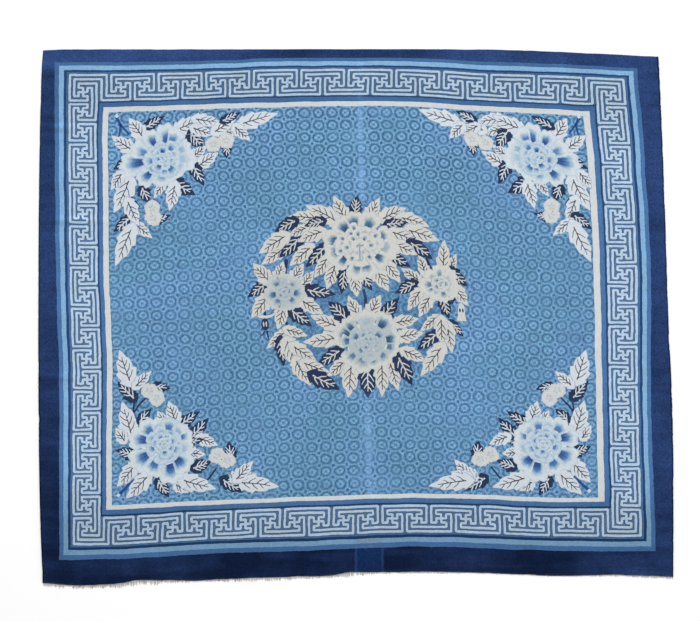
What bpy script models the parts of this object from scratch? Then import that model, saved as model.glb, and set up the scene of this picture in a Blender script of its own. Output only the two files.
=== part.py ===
"""A knotted wool room rug, lying flat: the pile rug itself and the frayed warp ends at its foot.

Metres, +Z up, +X to the right, +Y towards the head edge. The underside is the plane z = 0, and the
origin is the middle of the whole rug's box on that plane.
"""

import math
from collections import namedtuple

import bmesh
import bpy

THICKNESS = 0.009  # foundation and pile together
RIM_ROUNDING = 0.003  # how far the pile falls away at the rim
RIM_SEGMENTS = 2
EDGE_STEP = 0.060  # spacing of the outline's points, except along the foot

WARP_END_THICKNESS = 0.003
TUFT_PITCH = 0.025  # from one tuft of warp ends to the next, and the foot outline's spacing
TUFT_ROOT_SHARE = 0.62  # a tuft's width at its root, as a share of the pitch
TUFT_TIP_SHARE = 0.30
TUFT_LEAN = 0.003  # how far a tip may lie to one side of its root
WOVEN_SHARE = 0.45  # the part of the reach that is still woven
SHORTEST_TUFT = 0.55  # the shortest tuft, as a share of the reach there
CLEARANCE = 0.0003

# Where each edge runs: along is the distance along the edge's own axis from the rug's middle, and
# out is the distance of the edge from the middle across that axis.
Station = namedtuple("Station", "along out")

HEAD_EDGE = (  # x, then y
    Station(-1.5435, 1.320),
    Station(-1.360, 1.324),
    Station(0.340, 1.325),
    Station(0.720, 1.323),
    Station(0.900, 1.318),
    Station(1.115, 1.309),
    Station(1.5095, 1.288),
)
FOOT_EDGE = (  # x, then y
    Station(-1.5085, -1.295),
    Station(-1.300, -1.306),
    Station(-1.130, -1.299),
    Station(-1.020, -1.281),
    Station(-0.780, -1.284),
    Station(-0.500, -1.271),
    Station(-0.100, -1.259),
    Station(0.000, -1.243),
    Station(0.450, -1.242),
    Station(0.750, -1.251),
    Station(1.000, -1.260),
    Station(1.250, -1.256),
    Station(1.5455, -1.265),
)
LEFT_EDGE = (  # y, then x
    Station(-1.295, -1.5085),
    Station(-0.960, -1.5265),
    Station(-0.500, -1.5395),
    Station(-0.045, -1.5475),
    Station(0.650, -1.5535),
    Station(1.120, -1.5505),
    Station(1.320, -1.5435),
)
RIGHT_EDGE = (  # y, then x
    Station(-1.265, 1.5455),
    Station(-0.960, 1.5505),
    Station(-0.730, 1.5535),
    Station(-0.500, 1.5525),
    Station(-0.050, 1.5395),
    Station(0.420, 1.5315),
    Station(0.885, 1.5215),
    Station(1.288, 1.5095),
)
# How far the warp ends reach past the pile: x along the foot edge, then the reach.
WARP_REACH = (
    Station(-1.5085, 0.030),
    Station(-1.400, 0.0214),
    Station(-1.130, 0.022),
    Station(-1.030, 0.030),
    Station(-0.850, 0.014),
    Station(-0.760, 0.008),
    Station(-0.480, 0.021),
    Station(-0.120, 0.014),
    Station(-0.020, 0.024),
    Station(0.200, 0.010),
    Station(0.450, 0.011),
    Station(0.620, 0.007),
    Station(0.950, 0.006),
    Station(1.250, 0.011),
    Station(1.5455, 0.014),
)


def run_through(stations, along):
    """Read a smooth curve through the stations, which never swings past them."""
    along = min(max(along, stations[0].along), stations[-1].along)
    slopes = [
        (right.out - left.out) / (right.along - left.along)
        for left, right in zip(stations, stations[1:])
    ]

    def slope_at(index):
        if index in (0, len(slopes)):
            return slopes[min(index, len(slopes) - 1)]
        before, after = slopes[index - 1], slopes[index]
        return 2 * before * after / (before + after) if before * after > 0 else 0.0

    index = next(i for i in range(len(slopes)) if along <= stations[i + 1].along)
    left, right = stations[index], stations[index + 1]
    span = right.along - left.along
    t = (along - left.along) / span
    return (
        (1 + 2 * t) * (1 - t) ** 2 * left.out
        + t * (1 - t) ** 2 * span * slope_at(index)
        + t * t * (3 - 2 * t) * right.out
        + t * t * (t - 1) * span * slope_at(index + 1)
    )


def edge_positions(stations, spacing):
    """Even steps along an edge, from its first point to its last."""
    start, end = stations[0].along, stations[-1].along
    count = round((end - start) / spacing)
    return [start + (end - start) * step / count for step in range(count + 1)]


def rug_outline():
    """The pile's outline, anticlockwise from its left foot corner, each corner once."""
    foot = [(x, run_through(FOOT_EDGE, x)) for x in edge_positions(FOOT_EDGE, TUFT_PITCH)]
    right = [(run_through(RIGHT_EDGE, y), y) for y in edge_positions(RIGHT_EDGE, EDGE_STEP)]
    head = [(x, run_through(HEAD_EDGE, x)) for x in edge_positions(HEAD_EDGE, EDGE_STEP)]
    left = [(run_through(LEFT_EDGE, y), y) for y in edge_positions(LEFT_EDGE, EDGE_STEP)]
    return foot[:-1] + right[:-1] + head[:0:-1] + left[:0:-1]


def plain_material(name, colour, roughness):
    material = bpy.data.materials.new(name)
    material.use_nodes = True
    shader = material.node_tree.nodes["Principled BSDF"]
    shader.inputs["Base Color"].default_value = (*colour, 1.0)
    shader.inputs["Roughness"].default_value = roughness
    shader.inputs["Metallic"].default_value = 0.0
    material.diffuse_color = (*colour, 1.0)
    return material


def finish_object(name, shape, material):
    """Turn a bmesh into a named object with its faces pointing out."""
    bmesh.ops.recalc_face_normals(shape, faces=shape.faces)
    mesh = bpy.data.meshes.new(name)
    shape.to_mesh(mesh)
    shape.free()
    mesh.materials.append(material)
    piece = bpy.data.objects.new(name, mesh)
    bpy.context.scene.collection.objects.link(piece)
    return piece


def raise_sheet(shape, height):
    """Give the flat faces at z = 0 their thickness, and return the faces on top."""
    raised = bmesh.ops.extrude_face_region(shape, geom=shape.faces[:])["geom"]
    corners = [item for item in raised if isinstance(item, bmesh.types.BMVert)]
    bmesh.ops.translate(shape, verts=corners, vec=(0, 0, height))
    return [item for item in raised if isinstance(item, bmesh.types.BMFace)]


def make_pile_rug(material):
    """The rug: one flat body of foundation and pile, with the pile rounded down at the rim."""
    shape = bmesh.new()
    shape.faces.new([shape.verts.new((x, y, 0)) for x, y in rug_outline()])
    top = raise_sheet(shape, THICKNESS)[0]
    bmesh.ops.bevel(
        shape,
        geom=list(top.edges),
        offset=RIM_ROUNDING,
        offset_type="OFFSET",
        affect="EDGES",
        segments=RIM_SEGMENTS,
        profile=0.5,
        material=-1,
    )
    return finish_object("pile_rug", shape, material)


def tuft_share(number):
    """How much of the reach a tuft has: uneven, and the same on each run."""
    swing = math.sin(2.4 * number + 1.3 * math.sin(0.7 * number))
    return (1 + SHORTEST_TUFT) / 2 + (1 - SHORTEST_TUFT) / 2 * swing


def make_warp_ends(material):
    """The frayed warp ends: one comb along the foot edge, a woven strip with a tuft at each pitch."""
    shape = bmesh.new()
    bounds = edge_positions(FOOT_EDGE, TUFT_PITCH)
    pitch = bounds[1] - bounds[0]

    def corner(x, share, past=0.0):
        """A corner at x, at a share of the warp ends' reach in front of the pile."""
        reach = share * run_through(WARP_REACH, x + past)
        return shape.verts.new((x + past, run_through(FOOT_EDGE, x) - CLEARANCE - reach, 0))

    back, front = corner(bounds[0], 0), corner(bounds[0], WOVEN_SHARE)
    for number, end in enumerate(bounds[1:]):
        middle = end - pitch / 2
        half_root = TUFT_ROOT_SHARE * pitch / 2
        half_tip = TUFT_TIP_SHARE * pitch / 2
        lean = TUFT_LEAN * math.sin(1.9 * number)
        roots = [corner(middle + side * half_root, WOVEN_SHARE) for side in (-1, 1)]
        tips = [corner(middle, tuft_share(number), lean + side * half_tip) for side in (-1, 1)]
        next_back, next_front = corner(end, 0), corner(end, WOVEN_SHARE)
        shape.faces.new((back, front, *roots, next_front, next_back))
        shape.faces.new((roots[0], tips[0], tips[1], roots[1]))
        back, front = next_back, next_front
    raise_sheet(shape, WARP_END_THICKNESS)
    return finish_object("warp_ends", shape, material)


def main():
    for old in list(bpy.data.objects):
        bpy.data.objects.remove(old)
    blue_wool = plain_material("Blue wool pile", (0.127, 0.270, 0.456), 0.95)
    cotton = plain_material("Ivory cotton warp", (0.60, 0.57, 0.50), 0.90)
    make_pile_rug(blue_wool)
    make_warp_ends(cotton)


main()
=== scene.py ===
"""The looks of a knotted wool room rug: key-fret border, coin lattice, flower medallion and sprays.

Everything on the rug is drawn in the weaver's own coordinates, u across the warps and v along them,
in metres from the middle of the field. lay() turns them into places on the real, uneven rug.
"""

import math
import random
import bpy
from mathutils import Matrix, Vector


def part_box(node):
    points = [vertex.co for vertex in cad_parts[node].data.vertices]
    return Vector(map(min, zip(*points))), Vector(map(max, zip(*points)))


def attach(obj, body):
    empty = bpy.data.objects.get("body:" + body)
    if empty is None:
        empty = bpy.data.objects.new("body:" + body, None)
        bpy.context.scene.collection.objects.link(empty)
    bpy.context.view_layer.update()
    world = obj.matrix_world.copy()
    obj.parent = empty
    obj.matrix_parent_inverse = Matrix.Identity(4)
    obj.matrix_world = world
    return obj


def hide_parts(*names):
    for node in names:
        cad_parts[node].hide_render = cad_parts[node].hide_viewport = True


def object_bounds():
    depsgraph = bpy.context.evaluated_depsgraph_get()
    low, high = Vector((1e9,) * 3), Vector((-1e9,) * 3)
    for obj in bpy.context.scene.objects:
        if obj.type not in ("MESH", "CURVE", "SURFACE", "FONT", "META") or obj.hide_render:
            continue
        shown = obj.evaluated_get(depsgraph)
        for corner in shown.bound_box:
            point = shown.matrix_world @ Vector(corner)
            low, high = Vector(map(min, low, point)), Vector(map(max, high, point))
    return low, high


bl_info = {
    "name": "Fret Border Rug",
    "version": (1, 0, 0),
    "blender": (4, 5, 0),
    "location": "View3D > Sidebar > Rug",
    "description": "Builds the visible rug around its packed CAD bodies",
    "category": "Object",
}

from collections import namedtuple

import bmesh
import bpy
import numpy as np
from bpy.props import FloatProperty, FloatVectorProperty, PointerProperty

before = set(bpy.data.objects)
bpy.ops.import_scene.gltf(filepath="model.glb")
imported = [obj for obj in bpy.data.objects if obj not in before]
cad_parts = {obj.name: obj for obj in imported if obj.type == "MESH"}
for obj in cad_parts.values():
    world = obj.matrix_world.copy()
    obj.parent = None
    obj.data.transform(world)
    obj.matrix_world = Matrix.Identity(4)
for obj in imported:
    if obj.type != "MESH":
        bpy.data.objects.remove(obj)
CAD_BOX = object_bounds()
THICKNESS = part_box("pile_rug")[1][2]
CM = 0.01  # motifs are drawn in centimetres, and everything else in metres
SAME_PLACE = 1e-6  # points closer than this are one point

# ---------------------------------------------------------------- the weaver's layout, in metres
FIELD_HALF = (1.200, 0.965)  # to the middle of the ivory line
BORDER_WIDTH = 0.245  # from there to the navy surround
SURROUND_WIDTH = 0.090  # the navy surround, where it is even
GUARD_HALF = (FIELD_HALF[0] + BORDER_WIDTH, FIELD_HALF[1] + BORDER_WIDTH)
EDGE_HALF = (GUARD_HALF[0] + SURROUND_WIDTH, GUARD_HALF[1] + SURROUND_WIDTH)

# Where the border's bands start and end, inside the navy surround on each side.
Sides = namedtuple("Sides", "left foot right head")
SURROUND_END = Sides(0.0, 0.0, 0.0, 0.0)
LIGHT_START = Sides(0.0206, 0.0225, 0.0190, 0.0180)
LIGHT_END = Sides(0.0435, 0.0460, 0.0400, 0.0410)
DARK_END = Sides(0.0560, 0.0590, 0.0515, 0.0510)
FRET_START = Sides(0.0670, 0.0690, 0.0615, 0.0600)
FRET_END = Sides(0.2029, 0.2029, 0.1975, 0.2000)
INNER_DARK_END = Sides(0.2120, 0.2130, 0.2075, 0.2095)
FIELD_START = Sides(*[BORDER_WIDTH] * 4)
Band = namedtuple("Band", "start end")
MID_BLUE_BANDS = (
    Band(SURROUND_END, LIGHT_START), Band(DARK_END, FRET_START), Band(INNER_DARK_END, FIELD_START))
LIGHT_BLUE_BANDS = (Band(LIGHT_START, LIGHT_END),)
DARK_BANDS = (Band(LIGHT_END, DARK_END), Band(FRET_END, INNER_DARK_END))
FRET_BANDS = (Band(FRET_START, FRET_END),)
SPRAY_GAP = 0.0143  # from the middle of the ivory line to where the corner sprays start
INNER_HALF = [half - SPRAY_GAP for half in FIELD_HALF]
IVORY_WIDTH = Sides(0.0270, 0.0205, 0.0300, 0.0250)  # of the ivory line on each side

# Where a woven line really runs: along is the distance along it, out its distance across.
Station = namedtuple("Station", "along out")


def stations(*places):
    """A line's stations, from pairs of places along and out."""
    return [Station(*place) for place in places]


IVORY_LEFT = stations(
    (-0.97, -1.191), (-0.50, -1.194), (-0.33, -1.194), (-0.10, -1.203), (0.03, -1.211), (0.20, -1.218),
    (0.60, -1.225), (0.80, -1.231), (0.97, -1.227),
)
IVORY_RIGHT = stations(
    (-0.97, 1.200), (-0.55, 1.196), (-0.30, 1.194), (0.10, 1.191), (0.50, 1.180), (0.62, 1.173),
    (0.80, 1.163), (0.97, 1.145),
)
IVORY_HEAD = stations(
    (-1.20, 1.020), (-0.78, 1.034), (-0.50, 1.043), (-0.22, 1.049), (0.34, 1.048), (0.62, 1.030),
    (1.20, 1.003),
)
IVORY_FOOT = stations(
    (-1.20, -0.934), (-0.93, -0.919), (-0.53, -0.901), (-0.22, -0.889), (0.34, -0.875), (0.62, -0.880),
    (0.90, -0.893), (1.20, -0.894),
)
GUARD_LEFT = stations(
    (-1.21, -1.429), (-0.75, -1.436), (-0.30, -1.443), (-0.05, -1.455), (0.20, -1.465), (0.60, -1.475),
    (1.21, -1.486),
)
GUARD_RIGHT = stations(
    (-1.21, 1.460), (-0.95, 1.457), (-0.75, 1.451), (-0.25, 1.450), (0.05, 1.456), (0.40, 1.450),
    (0.65, 1.436), (0.81, 1.430), (0.95, 1.420), (1.21, 1.400),
)
GUARD_HEAD = stations(
    (-1.45, 1.257), (-0.85, 1.263), (-0.60, 1.270), (-0.42, 1.278), (-0.22, 1.281), (0.05, 1.281),
    (0.30, 1.280), (0.46, 1.275), (0.62, 1.264), (1.00, 1.252), (1.45, 1.229),
)
GUARD_FOOT = stations(
    (-1.45, -1.185), (-1.05, -1.175), (-0.77, -1.156), (-0.53, -1.147), (-0.22, -1.138),
    (0.33, -1.119), (0.61, -1.126), (0.90, -1.137), (1.45, -1.143),
)


def run_through(line, along):
    """Read a smooth curve through a line's stations at each value of along."""
    at, out = (np.array(column) for column in zip(*line))
    slopes = np.gradient(out, at)
    along = np.clip(along, at[0], at[-1])
    index = np.clip(np.searchsorted(at, along, side="right") - 1, 0, len(at) - 2)
    span = at[index + 1] - at[index]
    t = (along - at[index]) / span
    return (
        (1 + 2 * t) * (1 - t) ** 2 * out[index]
        + t * (1 - t) ** 2 * span * slopes[index]
        + t * t * (3 - 2 * t) * out[index + 1]
        + t * t * (t - 1) * span * slopes[index + 1]
    )


def body_points(node):
    """The points of a CAD body, one to a row."""
    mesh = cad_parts[node].data
    places = np.zeros(len(mesh.vertices) * 3)
    mesh.vertices.foreach_get("co", places)
    return places.reshape(-1, 3)


def pile_edges():
    """The pile's outline from its CAD body: each edge as its places along and out, in order."""
    places = body_points("pile_rug")
    rim = np.unique(places[places[:, 2] < THICKNESS / 10, :2].round(5), axis=0)
    rim = rim[np.argsort(np.arctan2(rim[:, 1], rim[:, 0]))]
    corners = np.array(((-1, -1), (1, -1), (1, 1), (-1, 1)))
    start, right, head, left = (int(np.argmax(rim @ corner)) for corner in corners)
    rim = np.roll(rim, -start, axis=0)
    right, head, left = ((index - start) % len(rim) for index in (right, head, left))
    closed = np.vstack((rim, rim[:1]))
    edges = {}
    for name, first, last, axis in (
        ("foot", 0, right, 0), ("right", right, head, 1),
        ("head", head, left, 0), ("left", left, len(rim), 1),
    ):
        run = closed[first:last + 1]
        run = run[np.argsort(run[:, axis])]
        edges[name] = (run[:, axis], run[:, 1 - axis])
    return edges


EDGES = pile_edges()


def edge_at(name, share):
    """An edge's distance out, where share runs along it from -1 to 1."""
    along, out = EDGES[name]
    return np.interp(along[0] + (share + 1) / 2 * (along[-1] - along[0]), along, out)


# An uneven field is a sum of waves: how many, how far each is turned and shifted from the last, how
# long they are for bumps of size 1, and what brings their sum to about 1.
WAVES, WAVE_TURN, WAVE_SHIFT = 6, 2.4, 1.7
SHORTEST_WAVE, WAVE_GROWTH, WAVE_SUM = 0.7, 0.21, 2.8


def wander(u, v, size, seed):
    """A smooth uneven field between about -1 and 1, with bumps about size apart."""
    height = 0.0
    for wave in range(WAVES):
        angle = seed + WAVE_TURN * wave
        along = u * math.cos(angle) + v * math.sin(angle)
        length = size * (SHORTEST_WAVE + WAVE_GROWTH * wave)
        height = height + np.sin(math.tau * along / length + WAVE_SHIFT * wave * seed)
    return height / WAVE_SUM


def between_lines(place, halves, values):
    """A place across, from the real places of the six woven lines that it lies among."""
    field, guard, edge = halves
    stops = (-edge, -guard, -field, field, guard, edge)
    result = values[0]
    for start, end, low, high in zip(stops, stops[1:], values, values[1:]):
        result = result + np.clip((place - start) / (end - start), 0, 1) * (high - low)
    return result


# How far a knot strays from its place: how far apart the bumps are, and how far they reach.
Stray = namedtuple("Stray", "size reach")
STRAYS = (Stray(0.013, 0.0006), Stray(0.041, 0.0006), Stray(0.17, 0.0014))
STRAY_SEEDS = (1.3, 2.9)  # across and along


def lay(u, v):
    """Where the knot drawn at (u, v) really lies on the rug, as x and y."""
    for size, reach in STRAYS:
        across, along = (seed + size for seed in STRAY_SEEDS)
        u, v = u + reach * wander(u, v, size, across), v + reach * wander(v, u, size, along)
    rows, columns = v / EDGE_HALF[1], u / EDGE_HALF[0]
    x = between_lines(u, (FIELD_HALF[0], GUARD_HALF[0], EDGE_HALF[0]), (
        edge_at("left", rows), run_through(GUARD_LEFT, v), run_through(IVORY_LEFT, v),
        run_through(IVORY_RIGHT, v), run_through(GUARD_RIGHT, v), edge_at("right", rows),
    ))
    y = between_lines(v, (FIELD_HALF[1], GUARD_HALF[1], EDGE_HALF[1]), (
        edge_at("foot", columns), run_through(GUARD_FOOT, u), run_through(IVORY_FOOT, u),
        run_through(IVORY_HEAD, u), run_through(GUARD_HEAD, u), edge_at("head", columns),
    ))
    return x, y


FOLD_X = 0.055  # the old fold down the middle of the rug
FOLD_LEAN = -0.025  # how far to the right it drifts per metre towards the head
FOLD_WIDTH, FOLD_HEIGHT = 0.06, 0.0008  # of the ridge that it left
# Creases that run in from the left edge: where each is, and how far in it reaches.
Crease = namedtuple("Crease", "y reach")
CREASES = (Crease(0.93, 0.20), Crease(0.47, 0.32), Crease(-0.30, 0.18))
CREASE_WIDTH, CREASE_HEIGHT = 0.022, 0.0012
PILE_SETTLED = 0.0006  # how far the trodden pile lies below its full height
SWELL_SIZE, SWELL_HEIGHT, SWELL_SEED = 0.55, 0.00035, 2.2  # the slow swell of its surface


def pile_height(x, y):
    """Height of the pile's surface: worn a little unevenly, with the old fold and creases."""
    height = THICKNESS - PILE_SETTLED + SWELL_HEIGHT * wander(x, y, SWELL_SIZE, SWELL_SEED)
    off_fold = x - FOLD_X - FOLD_LEAN * y
    height = height + FOLD_HEIGHT * np.exp(-((off_fold / FOLD_WIDTH) ** 2))
    for crease in CREASES:
        inward = (x - CAD_BOX[0][0]) / crease.reach
        height = height + CREASE_HEIGHT * np.exp(-(((y - crease.y) / CREASE_WIDTH) ** 2) - inward**2)
    return height


# ---------------------------------------------------------------- what a user would change
def length_property(name, description, length):
    """A length that a user may change."""
    return FloatProperty(name=name, description=description, default=length, unit="LENGTH")


class RugSizes(bpy.types.PropertyGroup):
    """Sizes of the rug's knots, lines and edges"""

    knot: length_property("Knot", "Width of one knot", 0.0045)
    pile_grid: length_property("Pile grid", "Spacing of the pile surface's points", 0.018)
    rim: length_property("Rim", "Rounding of the pile along the rim", 0.0028)
    drawn_step: length_property("Drawn step", "Longest step along a drawn line", 0.014)
    plate: length_property("Plate", "Depth to which a motif's knots are modelled", 0.0014)
    fret_line: length_property("Fret line", "Width of the light lines of the fret", 0.0116)
    fret_outline: length_property("Fret outline", "Width of the dark line under each light one", 0.0165)
    vein: length_property("Vein", "Width of a leaf's veins", 0.0060)
    selvedge: length_property("Selvedge", "Width of the overcast side edges", 0.008)


STUDIO_LIGHT = 1.12  # how bright a fully white surface would look under the studio light


def dyed(look):
    """A dye's linear colour, from how it looks under the studio light, each part 0 to 255."""
    return tuple(
        (value / 12.92 if value <= 0.04045 else ((value + 0.055) / 1.055) ** 2.4) / STUDIO_LIGHT
        for value in (part / 255 for part in look)
    )


def colour_property(name, description, *look):
    """A colour that a user may change, set to how it looks."""
    return FloatVectorProperty(
        name=name, description=description, subtype="COLOR", size=3, min=0, max=1, default=dyed(look))


class RugColours(bpy.types.PropertyGroup):
    """Colours of the wools and the cotton"""

    navy: colour_property("Navy", "Surround where its dye is deep", 13, 27, 57)
    # Painted haze and light lift the surround towards this paler navy, as do its uneven dye and the fold's
    # wear.
    navy_lit_and_worn: colour_property("Faded navy", "Surround's paler navy: from painted haze and light, uneven dye and the fold's wear", 54, 81, 136)
    navy_rubbed: colour_property("Rubbed navy", "Surround where the fold wore it", 18, 47, 88)
    mid_blue: colour_property("Mid blue", "Guard stripes", 76, 117, 168)
    mid_worn: colour_property("Worn mid blue", "Guard stripes in the worn patch", 72, 104, 156)
    light_blue: colour_property("Light blue", "Light guard stripe", 134, 177, 215)
    light_worn: colour_property("Worn light blue", "Light stripe in that patch", 120, 132, 148)
    line_blue: colour_property("Line blue", "Dark lines beside the fret", 42, 74, 116)
    fret_ground: colour_property("Fret ground", "Ground of the fret", 88, 120, 158)
    # Partly the fret's dark outline wool, partly painted shade of its carving.
    fret_outline: colour_property("Fret outline", "Dark outline and painted carving shade along the fret's lines", 58, 86, 124)
    fret_light: colour_property("Fret light", "Light lines of the fret", 184, 206, 227)
    field_ground: colour_property("Field ground", "Ground of the field", 96, 141, 179)
    field_light: colour_property("Field light", "Light lines of the lattice", 131, 176, 213)
    field_dark: colour_property("Field dark", "Dark rings of the lattice", 60, 98, 142)
    # Painted highlight, with wear, along the old fold's crest.
    fold_crest_highlight_and_wear: colour_property("Fold light", "The old fold's crest, worn and with a painted highlight", 132, 178, 228)
    ivory: colour_property("Ivory", "Undyed wool of the ivory line", 206, 214, 223)
    ivory_warm: colour_property("Warm ivory", "The same wool where it yellowed", 214, 214, 205)
    leaf_ivory: colour_property("Leaf ivory", "Undyed wool of the leaves", 205, 208, 203)
    leaf_warm: colour_property("Warm leaf", "The same wool where it yellowed", 204, 203, 198)
    leaf_white: colour_property("Leaf white", "The corner sprays' whiter wool", 209, 217, 224)
    # Painted shade: the greyer rim round each ivory leaf, where its carved cut is.
    leaf_edge: colour_property("Leaf edge", "Painted shade in the carved cut round the ivory leaves", 142, 160, 180)
    leaf_navy: colour_property("Leaf navy", "Dark leaves", 43, 56, 86)
    twig_blue: colour_property("Twig blue", "Twigs in the corners", 46, 78, 138)
    vein_dark: colour_property("Dark vein", "Veins on ivory leaves", 84, 80, 92)
    heart_mark: colour_property("Heart mark", "Stem in the upper flower's heart", 150, 156, 176)
    petal_deep: colour_property("Petal foot", "Darkest feet of the petals", 40, 68, 124)
    petal_blue: colour_property("Petal blue", "Shaded part of the petals", 84, 124, 176)
    petal_pale: colour_property("Petal pale", "Palest blue of the petals", 158, 186, 208)
    petal_ivory: colour_property("Petal ivory", "Tips of the petals", 208, 217, 222)
    petal_slate: colour_property("Petal slate", "Darkest feet of the warmer petals", 44, 72, 108)
    petal_steel: colour_property("Petal steel", "Shaded part of the warmer petals", 92, 122, 152)
    petal_grey: colour_property("Petal grey", "Palest blue of the warmer petals", 161, 178, 187)
    petal_beige: colour_property("Petal beige", "Tips of the warmer petals", 206, 206, 201)
    cotton: colour_property("Cotton", "Undyed cotton warps", 196, 190, 176)


class RugStage(bpy.types.PropertyGroup):
    """The camera and the lights"""

    distance: length_property("Distance", "From the camera to the rug", 5.5)
    tilt: FloatProperty(
        name="Tilt", description="Camera's lean from straight down", default=math.radians(3),
        subtype="ANGLE")
    lens: FloatProperty(name="Lens", description="Focal length", default=57.73, unit="CAMERA")
    sky: FloatProperty(name="Sky", description="Strength of the even light all round", default=0.62)
    lamp: FloatProperty(name="Lamp", description="Power of the soft box", default=300, unit="POWER")


# ---------------------------------------------------------------- material building
def make_group(name, inputs, outputs):
    """An empty shader group; inputs are names, kinds and defaults, outputs names and kinds."""
    group = bpy.data.node_groups.new(name, "ShaderNodeTree")
    for words, kind, default in inputs:
        socket = group.interface.new_socket(name=words, in_out="INPUT", socket_type="NodeSocket" + kind)
        if default is not None:
            socket.default_value = default
    for words, kind in outputs:
        group.interface.new_socket(name=words, in_out="OUTPUT", socket_type="NodeSocket" + kind)
    return group, group.nodes.new("NodeGroupInput").outputs, group.nodes.new("NodeGroupOutput").inputs


def feed(socket, value):
    """Give a socket its value, or a link from another socket."""
    if isinstance(value, bpy.types.NodeSocket):
        socket.id_data.links.new(value, socket)
    elif value is not None:
        socket.default_value = value


def feed_inputs(node, **values):
    """Feed a node's inputs by their names, where _ stands for a space."""
    for words, value in values.items():
        feed(node.inputs[words.replace("_", " ")], value)


def node_beside(kind, *values):
    """A new node in the tree that the sockets among the values belong to."""
    tree = next(value.id_data for value in values if isinstance(value, bpy.types.NodeSocket))
    return tree.nodes.new("ShaderNode" + kind)


def calculate(operation, *values):
    """One step of arithmetic on values or sockets."""
    node = node_beside("Math", *values)
    node.operation = operation
    for socket, value in zip(node.inputs, values):
        feed(socket, value)
    return node.outputs[0]


def calculate_vector(operation, first, second=None, scale=None):
    """One step of arithmetic on places or colours."""
    node = node_beside("VectorMath", first)
    node.operation = operation
    feed(node.inputs[0], first)
    if second is not None:
        feed(node.inputs[1], second)
    if scale is not None:
        feed(node.inputs["Scale"], scale)
    return node.outputs["Value" if operation == "DISTANCE" else "Vector"]


def ramp(value, start, end, low=0.0, high=1.0):
    """A smooth step from low to high as value goes from start to end."""
    node = node_beside("MapRange", value)
    node.interpolation_type = "SMOOTHSTEP"
    for socket, number in zip(node.inputs, (value, start, end, low, high)):
        feed(socket, number)
    return node.outputs[0]


def blend_colours(factor, first, second):
    """The first colour, or the second where the factor is 1."""
    node = node_beside("Mix", factor)
    node.data_type = "RGBA"
    for socket, value in zip((node.inputs[0], node.inputs[6], node.inputs[7]), (factor, first, second)):
        feed(socket, value)
    return node.outputs[2]


def uneven(vector, scale, detail=2.0, stretch=None, output="Fac"):
    """Noise from 0 to 1 on a vector, which may be stretched first; Color is its three-part form."""
    if stretch:
        vector = calculate_vector("MULTIPLY", vector, stretch)
    node = node_beside("TexNoise", vector)
    feed_inputs(node, Vector=vector, Scale=scale, Detail=detail)
    return node.outputs[output]


def parts_of(vector):
    """The X, Y and Z of a place or a colour."""
    node = node_beside("SeparateXYZ", vector)
    feed(node.inputs[0], vector)
    return node.outputs


def times(first, second):
    """A product."""
    return calculate("MULTIPLY", first, second)


def less(first, second):
    """A difference."""
    return calculate("SUBTRACT", first, second)


def lightened(colour, tone):
    """A colour made lighter or darker by a tone, where 1 leaves it as it is."""
    return calculate_vector("SCALE", colour, scale=tone)


def swung(value, size):
    """Noise about 0.5 turned into a swing of this size about nought."""
    return times(less(value, 0.5), size)


def apart(value, middle):
    """How far a value is from the middle."""
    return calculate("ABSOLUTE", less(value, middle))


def most(*values):
    """The greatest of the values."""
    highest = values[0]
    for value in values[1:]:
        highest = calculate("MAXIMUM", highest, value)
    return highest


def total(*values):
    """The sum of the values."""
    summed = values[0]
    for value in values[1:]:
        summed = calculate("ADD", summed, value)
    return summed


# A smooth step: where it starts and ends, and what it goes from and to.
Step = namedtuple("Step", "start end low high", defaults=(0.0, 1.0))
KNOT_SHAPE = (1.0, 1.08, 0.0)  # a knot is a little shorter than it is wide, and has no depth
KNOT_STRAY = 0.45  # how far the knots stand out of their even rows
KNOT_ROUGHNESS = Step(0.0, 1.0, 0.86, 0.97)
MOTTLE, MOTTLE_SCALE = 0.16, 26.0  # how patchy the pile is, and how small its patches are


def knots_group():
    """Hand-knotted pile: each knot a little lighter or darker, with its own small dome."""
    group, given, result = make_group(
        "Knotted pile",
        [("Color", "Color", (0.5, 0.5, 0.5, 1)), ("Vector", "Vector", None),
         ("Knot", "Float", 0.0045), ("Contrast", "Float", 0.2), ("Mottle", "Float", 0.12)],
        [("Color", "Color"), ("Height", "Float"), ("Roughness", "Float")],
    )
    per_metre = calculate("DIVIDE", 1.0, given["Knot"])
    flat = calculate_vector("MULTIPLY", given["Vector"], KNOT_SHAPE)
    cells = group.nodes.new("ShaderNodeTexVoronoi")
    feed_inputs(cells, Vector=lightened(flat, per_metre), Scale=1.0, Randomness=KNOT_STRAY)
    own = parts_of(cells.outputs["Color"])[0]
    patch = uneven(given["Vector"], MOTTLE_SCALE, detail=3.0)
    tone = total(1.0, swung(own, given["Contrast"]), swung(patch, given["Mottle"]))
    feed(result["Color"], lightened(given["Color"], tone))
    feed(result["Height"], less(1.0, cells.outputs["Distance"]))
    feed(result["Roughness"], ramp(own, *KNOT_ROUGHNESS))
    return group


DYE_BANDS = (1.3, 17.0, 1.0)  # how closely the dye's bands follow each other along each axis
DYE_PATCHES = 5.5  # how small its patches are


def dye_group():
    """A dye that took and faded unevenly: bands along the wefts and patches over them."""
    group, given, result = make_group(
        "Uneven dye",
        [("Vector", "Vector", None), ("Deep", "Color", (0, 0, 0, 1)), ("Faded", "Color", (1, 1, 1, 1)),
         ("Fading", "Float", 0.5), ("Swing", "Float", 0.6)],
        [("Color", "Color")],
    )
    bands = uneven(given["Vector"], 1.0, detail=3.0, stretch=DYE_BANDS)
    patches = uneven(given["Vector"], DYE_PATCHES, detail=4.0)
    mixed = times(total(bands, patches), 0.5)
    level = total(given["Fading"], swung(mixed, given["Swing"]))
    level.node.use_clamp = True
    feed(result["Color"], blend_colours(level, given["Deep"], given["Faded"]))
    return group
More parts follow.
